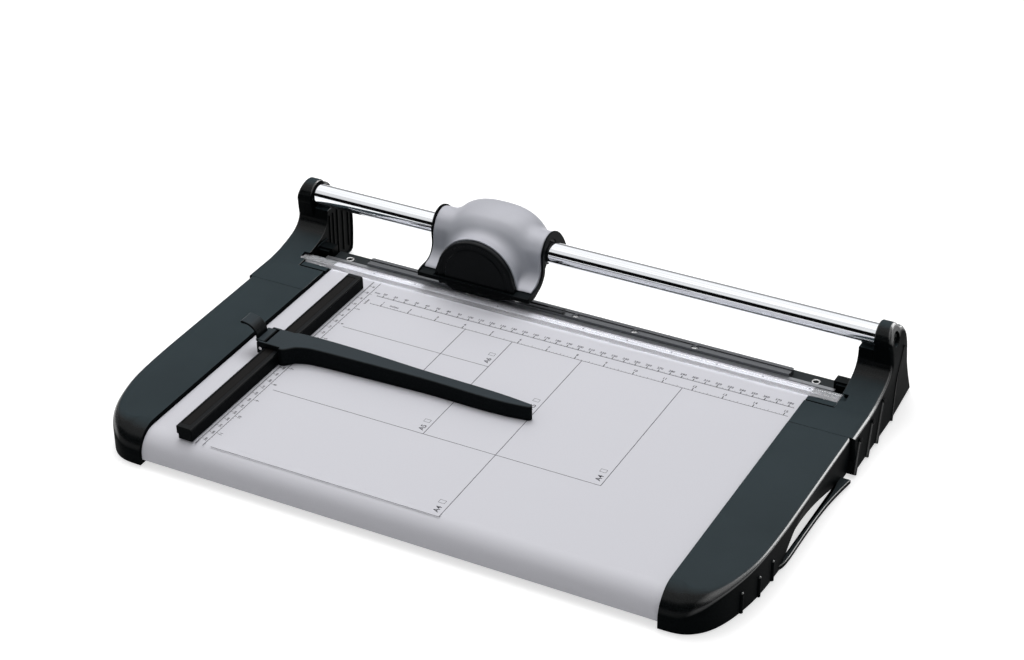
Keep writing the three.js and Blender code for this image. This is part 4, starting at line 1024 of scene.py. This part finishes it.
def strip_marks():
    """Two dark lines of painted shade along the strip's step corners, and a row of dots on the
    strip.
    """
    parts = []
    # Dark lines at the strip's two step corners: painted shade.
    for y, z, wide in ((-28.1, 3.88, 0.3), (-23.0, 3.52, 0.3)):
        parts.append(block(-236, 232, y - wide / 2, y + wide / 2, z, z + 0.06))
    for i in range(12):
        parts.append(rod("z", 0.7, 3.72, 3.79, -215 + i * 39.0, -25.6, 16))
    return gathered(*parts)


def build_base():
    show("table_sheet", "table", "base", table_sheet(), "base_table")
    show("printed_marks", "ink", "base", printed_marks())
    show_pair("front_cap", "slate", front_cap(), 28.0)
    show_pair("rear_housing", "slate", rear_housing(), 28.0)
    show("rail_skin", "chrome", "base", rail(), "rail_tube")
    show("guide_rail", "guide", "base", guide_bar(), "guide_bar")
    show("guide_insert", "inlay", "base", guide_inlay(), "guide_inlay")
    for n in range(5):
        head = screw(BED_SCREW_X + BED_SCREW_PITCH * n, BED_SCREW_Y, 0.4, 3.0, 1.2, 1.9)
        show(f"profile_screw_head_{n + 1}", "bright", "base", head, f"profile_screw_{n + 1}")
    for side, x in (("left", -PLATE_SCREW_X), ("right", PLATE_SCREW_X)):
        show(f"plate_screw_head_{side}", "bright", "base",
             ring_screw(x, PLATE_SCREW_Y, -3.3, 3.7, 1.6, 2.1), f"plate_screw_{side}")
        # A black disc in each screw's socket: painted shade, so the hole looks dark.
        show(f"painted_socket_shade_{side}", "black", "base",
             turned("z", [(0, -3.6), (2.1, -3.6), (2.1, -3.0), (1.2, -2.9), (0, -3.05)],
                    x, PLATE_SCREW_Y, 32))
    dress("beam", "bed_beam")
    dress("knife", "bed_knife")
    dress("alu", "bed_profile")
    dress("black", *both("side_cover"), *both("end_block"), *both("rail_screw"))
    dress("steel", *both("rail_plug"), *both("clamp_spring"),
          "guide_screw_front", "guide_screw_rear")
    dress("rubber", *both("foot_front"), *both("foot_rear"))
    show("strip_bar", "clear", "strip", clamp_strip(), "clamp_strip")
    show("strip_dots_and_shade_lines", "ink", "strip", strip_marks())


def head_points(table):
    return within(table, HEAD_FRONT, HEAD_REAR, HEAD_LOW, HEAD_HIGH)


def head_cover():
    """Silver cover: shoulders round the rail and the hood, blended and hollowed."""
    skin, corner, fillet, rear_fillet = 2.0, 0.8, 3.5, 2.5
    squaring, narrowing = 0.23, 0.055
    half = HEAD_HALF - HEAD_FLANGE - GAP
    curve = spline(head_points(COVER_SKIN), 4)
    toe, tail = curve[0], curve[-1]
    section = [*curve, (tail[0], -20.0), (toe[0], -20.0)]
    table = np.array(spline([(along * HOOD_LONG + PANEL_BACK, high, turn)
                             for high, along, turn in HOOD], 6))

    def field(x, y, z):
        side = np.abs(x - HEAD_X) - half
        a, b = outline_distance(section, y[0], z[0])[None] + corner, side + corner
        shoulders = (np.hypot(np.maximum(a, 0), np.maximum(b, 0))
                     + np.minimum(np.maximum(a, b), 0) - corner)
        high = np.interp(y, table[:, 0], table[:, 1]) * HOOD_HIGH
        turn = np.interp(y, table[:, 0], table[:, 2])
        power = 2 / (1 - squaring * turn)
        across = high * (1 - narrowing * turn)
        level = ((np.abs(x - HEAD_X) / across) ** power
                 + (np.abs(z - PANEL_Z) / high) ** power) ** (1 / power)
        hood = -blend((1 - level) * high, PANEL_BACK + HOOD_LONG - y, rear_fillet)
        outside = blend(shoulders, hood, fillet)
        shell = np.maximum(outside, -(outside + skin))
        under = np.where(y > RAIL_Y - RAIL_R, tail[1] - z, toe[1] - z)
        return np.maximum(np.maximum(shell, PANEL_BACK - y), np.maximum(under, side))

    step = 0.7
    low = (HEAD_X - half - 2, PANEL_BACK - 2, toe[1] - 2)
    high = (HEAD_X + half + 2, HEAD_REAR + 2, PANEL_Z + HOOD_HIGH + 3)
    return smoothed(net(field, low, high, step), 6)


def head_frame():
    """Black frame: two end flanges, the core under the cover, the toes and the axle's boss."""
    reach, under_skin = HEAD_HALF - HEAD_FLANGE / 2, 2.6
    section = spline(head_points(FLANGE + SKIRT_EDGE), 5, closed=True)
    under = head_points(SKIRT_EDGE)[:-1]
    cover = head_points(COVER)
    top = [(p.x + t.y * under_skin, p.y - t.x * under_skin)
           for p, t in zip(map(Vector, cover), headings(cover))][2:-1]
    core = [*head_points([(0.165, 0.013), (0.171, 0.113)]), *spline(top, 3),
            (top[-1][0], under[0][1]), *under]
    toe = head_points([(0, 0.009), (0, 0.082), (0.025, 0.102), (0.18, 0.102), (0.18, 0.004)])

    def stretches(near, far):
        """The stretch between two distances from the middle, on the left and the right."""
        return [sorted((HEAD_X + side * near, HEAD_X + side * far)) for side in (-1, 1)]

    ends = [prism("x", section, a, b, 0.5, 3)
            for a, b in stretches(HEAD_HALF, HEAD_HALF - HEAD_FLANGE)]
    toes = [prism("x", toe, a, b) for a, b in stretches(reach, PANEL_R + 1.7)]
    seats = [rod("x", RAIL_R + 2.1, a, b, RAIL_Y, RAIL_Z, 96)
             for a, b in stretches(HEAD_HALF + 1, HEAD_HALF - 14.8)]
    body = joined(*ends, prism("x", core, HEAD_X - reach, HEAD_X + reach), *toes,
                  block(HEAD_X - reach, HEAD_X + reach, toe[0][0],
                        PANEL_BACK - PANEL_THICK - GAP, toe[0][1], toe[1][1]),
                  block(HEAD_X - 9, HEAD_X + 9, -13.0, -3.4, 15, 30))
    return cut(body, rod("x", RAIL_R + 0.8, HEAD_X - 60, HEAD_X + 60, RAIL_Y, RAIL_Z, 96),
               *seats, rod("y", 10, -17.4, -12.6, HEAD_X, BLADE_Z, 48),
               rod("y", 1.6, BLADE_BACK, RAIL_Y, HEAD_X, BLADE_Z, 24))


def bush(side):
    a, b = sorted((HEAD_X + side * (HEAD_HALF - 0.5), HEAD_X + side * (HEAD_HALF - 14.5)))
    edge = 0.4
    return turned("x", [(RAIL_R + 0.2, a + edge), (RAIL_R + 0.2 + edge, a),
                        (RAIL_R + 1.8 - edge, a), (RAIL_R + 1.8, a + edge),
                        (RAIL_R + 1.8, b - edge), (RAIL_R + 1.8 - edge, b),
                        (RAIL_R + 0.2 + edge, b), (RAIL_R + 0.2, b - edge)],
                  RAIL_Y, RAIL_Z, 96)


def blade_panel():
    """Round black front: rolled rim, ring groove, flat foot with fillets, and the guard."""
    back, front, r, rim_roll = PANEL_BACK, PANEL_BACK - PANEL_THICK, PANEL_R, 1.8
    flat, guard_top, guard_low = 9.0, 12.0, 4.6
    rim = arc(r - rim_roll, front + rim_roll, rim_roll, 0, -90, 8)
    groove = [(u, front + deep) for u, deep in
              ((32.6, 0), (32.2, 0.1), (31.8, 0.5), (31.3, 0.7), (28.8, 0.7), (28.3, 0.5),
               (27.9, 0.1), (27.5, 0))]
    disc = turned("y", [(0, back), (r, back), *rim, *groove, (0, front)], HEAD_X, PANEL_Z, 144)
    disc = cut(disc, block(HEAD_X - r - 1, HEAD_X + r + 1, front - 1, back + 1, -20, flat))
    webs = []
    for side in (-1, 1):
        foot = [(HEAD_X + side * u, v) for u, v in
                ((30.0, 12.6), (30.0, 30.0), (33.4, 29.6), (34.9, 25.5), (36.1, 22.2),
                 (36.9, 20.2), (36.9, 12.6))]
        webs.append(prism("y", spline(foot, 3, closed=True), front + 0.4, back, 0.3, 3))
    half_guard = ((35, guard_top), (33.8, 10.8), (21, guard_low))
    guard = [(HEAD_X - u, v) for u, v in half_guard]
    guard += [(HEAD_X + u, v) for u, v in half_guard[::-1]]
    webs.append(prism("y", guard, front + 1.2, back, 0.4, 3))
    body = joined(disc, *webs)
    return cut(body, rod("y", 2.2, back - 1.2, back + 1, HEAD_X, BLADE_Z, 24))


def disc_blade():
    bore, front = 4.2, BLADE_BACK - BLADE_THICK
    return turned("y", [(bore, front), (BLADE_R - BLADE_BEVEL, front),
                        (BLADE_R, BLADE_BACK - 0.1), (BLADE_R, BLADE_BACK),
                        (bore, BLADE_BACK)], HEAD_X, BLADE_Z, 128)


def stop_arm():
    """Saddle and long tapering arm: a rolled upper rim, and a top that falls to the tip."""
    start, low, level = GUIDE_RIGHT + 1.3, 0.5, 2.3
    tip = start + ARM_LONG
    rear = ARM_FRONT + ARM_DEEP
    outline = spline(within(ARM, start, tip, ARM_FRONT, rear), 6, closed=True, corner=50)
    body = prism("z", outline, low, ARM_TOP, 0.3, 5, 1.5)
    for vert in body.vertices:
        if vert.co.x > start + level:
            share = (vert.co.x - start - level) / (tip - start)
            drop = (ARM_TOP - ARM_TIP) * share
            vert.co.z -= drop * (vert.co.z - low) / (ARM_TOP - low)
    front, roof, left = ARM_FRONT + SADDLE_IN, GUIDE_TOP + 0.4, GUIDE_RIGHT - LEVER_IN
    out_x, inner_x = left - 8.1, GUIDE_RIGHT - GUIDE_WIDE - 0.4
    saddle = block(left, GUIDE_RIGHT + level, front, front + SADDLE_DEEP, roof, ARM_TOP, 0.8)
    eye = [(out_x, 4.9), (inner_x, 4.9), (inner_x, roof), (left + 1, roof), (left + 1, ARM_TOP),
           (out_x + 1.5, ARM_TOP), (out_x, ARM_TOP - 1.5)]
    lugs = [prism("y", eye, y, y + LUG, 0.4, 3) for y in (front, front + SADDLE_DEEP - LUG)]
    body = joined(body, saddle, *lugs)
    return cut(body, rod("y", PIN_R, front - 1, front + SADDLE_DEEP + 1, *PIN, 32))


def stop_lever():
    """Locking lever between the lugs: a jaw under the bar's ledge, a back and a finger tab."""
    x0 = GUIDE_RIGHT - 22.7
    low_y = ARM_FRONT + SADDLE_IN + LEVER_SIDE
    high_y = ARM_FRONT + SADDLE_IN + SADDLE_DEEP - LEVER_SIDE
    back = within(LEVER_BACK, x0, GUIDE_RIGHT - LEVER_IN, 1.2, ARM_TOP)
    tab = within(LEVER_TAB, x0 - 14.6, x0 + 2, ARM_TOP - 2, ARM_TOP + 12.2)
    body = joined(prism("y", back, low_y, high_y, 0.4, 3),
                  prism("y", spline(tab, 5, closed=True, corner=60), low_y + 1, high_y - 4,
                        0.5, 4))
    return cut(body, rod("y", PIN_R + 0.15, low_y - 1, high_y + 1, *PIN, 32))


def build_moving():
    show("head_shell", "silver", "head", head_cover(), "head_cover", sharp=50.0)
    show("head_body", "black", "head", head_frame(), "head_frame")
    for side, name in ((-1, "left"), (1, "right")):
        show(f"bush_ring_{name}", "gloss", "head", bush(side), f"head_bush_{name}")
    show("blade_panel", "gloss", "head", blade_panel(), "blade_housing")
    show("cutting_disc", "steel", "blade", disc_blade(), "blade_disc")
    dress("black", "blade_hub")
    dress("steel", "blade_axle", "stop_lever_pin")
    show("stop_beam", "arm", "stop", stop_arm(), "stop_arm")
    show("stop_latch", "arm", "lever", stop_lever(), "stop_lever")


FLOOR_GLOW = SKY_GLOW = 0.62
FLOOR_HALF = 6.0


def add_camera():
    data = bpy.data.cameras.new("camera")
    data.lens = CAMERA_LENS
    data.sensor_fit = "HORIZONTAL"
    data.sensor_width = SENSOR_WIDTH
    data.clip_start = 0.01
    data.clip_end = 50.0
    obj = placed("camera", data)
    right = Vector(CAMERA_RIGHT).normalized()
    up = -Vector(CAMERA_DOWN)
    back = right.cross(up).normalized()
    up = back.cross(right)
    turn = Matrix((right, up, back)).transposed().to_4x4()
    obj.matrix_world = Matrix.Translation(CAMERA_AT) @ turn
    bpy.context.scene.camera = obj


def seen(m):
    """1 for the rays that show the background: camera, glossy and transmission rays."""
    path = m.add("ShaderNodeLightPath")
    out = path.outputs["Is Camera Ray"]
    for name in ("Is Glossy Ray", "Is Transmission Ray"):
        out = m.compute("MAXIMUM", out, path.outputs[name])
    return out


def plain_grey(v):
    return (v, v, v)


def sheet(name, m, *corners):
    """A single face with a material, beside the object and no part of it."""
    mesh = bpy.data.meshes.new(name)
    mesh.from_pydata(corners, [], [(0, 1, 2, 3)])
    mesh.materials.append(m.mat)
    obj = placed(name, mesh)
    return obj


def add_floor():
    m = Nodes("floor")
    m.set(Base_Color=m.ramp(m.noise(1.5), [(0.3, plain_grey(0.60)), (0.7, plain_grey(0.62))]),
          Roughness=0.7, Specular_IOR_Level=0.1)
    join = m.add("ShaderNodeAddShader")
    m.put(m.shader.outputs[0], join.inputs[0])
    m.put(m.add("ShaderNodeEmission", Strength=FLOOR_GLOW).outputs[0], join.inputs[1])
    m.put(m.choose(seen(m), m.shader.outputs[0], join.outputs[0]), m.out.inputs["Surface"])
    s = FLOOR_HALF
    sheet("floor", m, (-s, -s, 0), (s, -s, 0), (s, s, 0), (-s, s, 0))


def lamp(name, at, aim, size, energy, size_y=None):
    data = bpy.data.lights.new(name, "AREA")
    data.shape = "RECTANGLE"
    data.size = size
    data.size_y = size_y or size
    data.energy = energy
    obj = placed(name, data)
    obj.location = at
    obj.rotation_euler = (Vector(aim) - Vector(at)).to_track_quat("-Z", "Y").to_euler()
    obj.visible_camera = False
    obj.visible_glossy = False
    return obj


def card(name, wide, near, far, glow=0.0):
    """A black or bright card between two edges at (y, z), which only shows in reflections."""
    m = Nodes(name)
    m.set(Base_Color=m.ramp(m.noise(3.0), [(0.3, plain_grey(0.003)), (0.7, plain_grey(0.005))]),
          Roughness=0.9, Specular_IOR_Level=0.0, Emission_Color=(1, 1, 1, 1),
          Emission_Strength=glow)
    obj = sheet(name, m, (-wide, *near), (wide, *near), (wide, *far), (-wide, *far))
    obj.visible_camera = False
    obj.visible_diffuse = False
    obj.visible_shadow = False
    obj.visible_transmission = False


def add_world():
    """A sky that is grey at the horizon and white above. The camera sees plain white beyond
    the floor's far edge, as in a photo tent."""
    world = bpy.data.worlds.new("world")
    bpy.context.scene.world = world
    world.use_nodes = True
    m = Tree(world.node_tree)
    ground = m.add("ShaderNodeTexCoord").outputs["Generated"]
    up = m.add("ShaderNodeSeparateXYZ", Vector=ground).outputs["Z"]
    back = world.node_tree.nodes["Background"]
    m.put(m.ramp(up, [(0.0, (0.30, 0.30, 0.31)), (0.9, (1.0, 1.0, 1.0))]), back.inputs["Color"])
    m.put(SKY_GLOW, back.inputs["Strength"])
    white = m.add("ShaderNodeBackground", Color=(1, 1, 1, 1))
    camera = m.add("ShaderNodeLightPath").outputs["Is Camera Ray"]
    m.put(m.choose(camera, back.outputs[0], white.outputs[0]),
          world.node_tree.nodes["World Output"].inputs["Surface"])


def add_lights():
    lamp("key", (-0.4, 0.6, 2.2), (0, 0, 0), 1.4, 31)
    add_world()
    card("card_front", 3, (-1.2, 0.01), (-1.2, 0.9))
    card("card_top", 5, (-1.0, 2.7), (4.0, 2.7), 1.15)
    card("card_high", 3, (-1.2, 0.92), (-0.9, 2.6), 0.85)


def add_rim_light():
    """A wide glow beside the stage that only lines the rims of the dark housings."""
    obj = lamp("rim", (1.45, 2.2, 1.08), (1.45, 0, 1.08), 1.9, 75, 1.85)
    obj.visible_glossy = True
    obj.visible_diffuse = False
    obj.visible_transmission = False
    group = bpy.data.collections.new("rims")
    for name in both("front_cap_shell") + both("rear_housing_shell"):
        group.objects.link(bpy.data.objects[name])
    obj.light_linking.receiver_collection = group


add_camera()
add_floor()
add_lights()
build_base()
build_moving()
add_rim_light()

bpy.context.scene.view_settings.view_transform = "Standard"
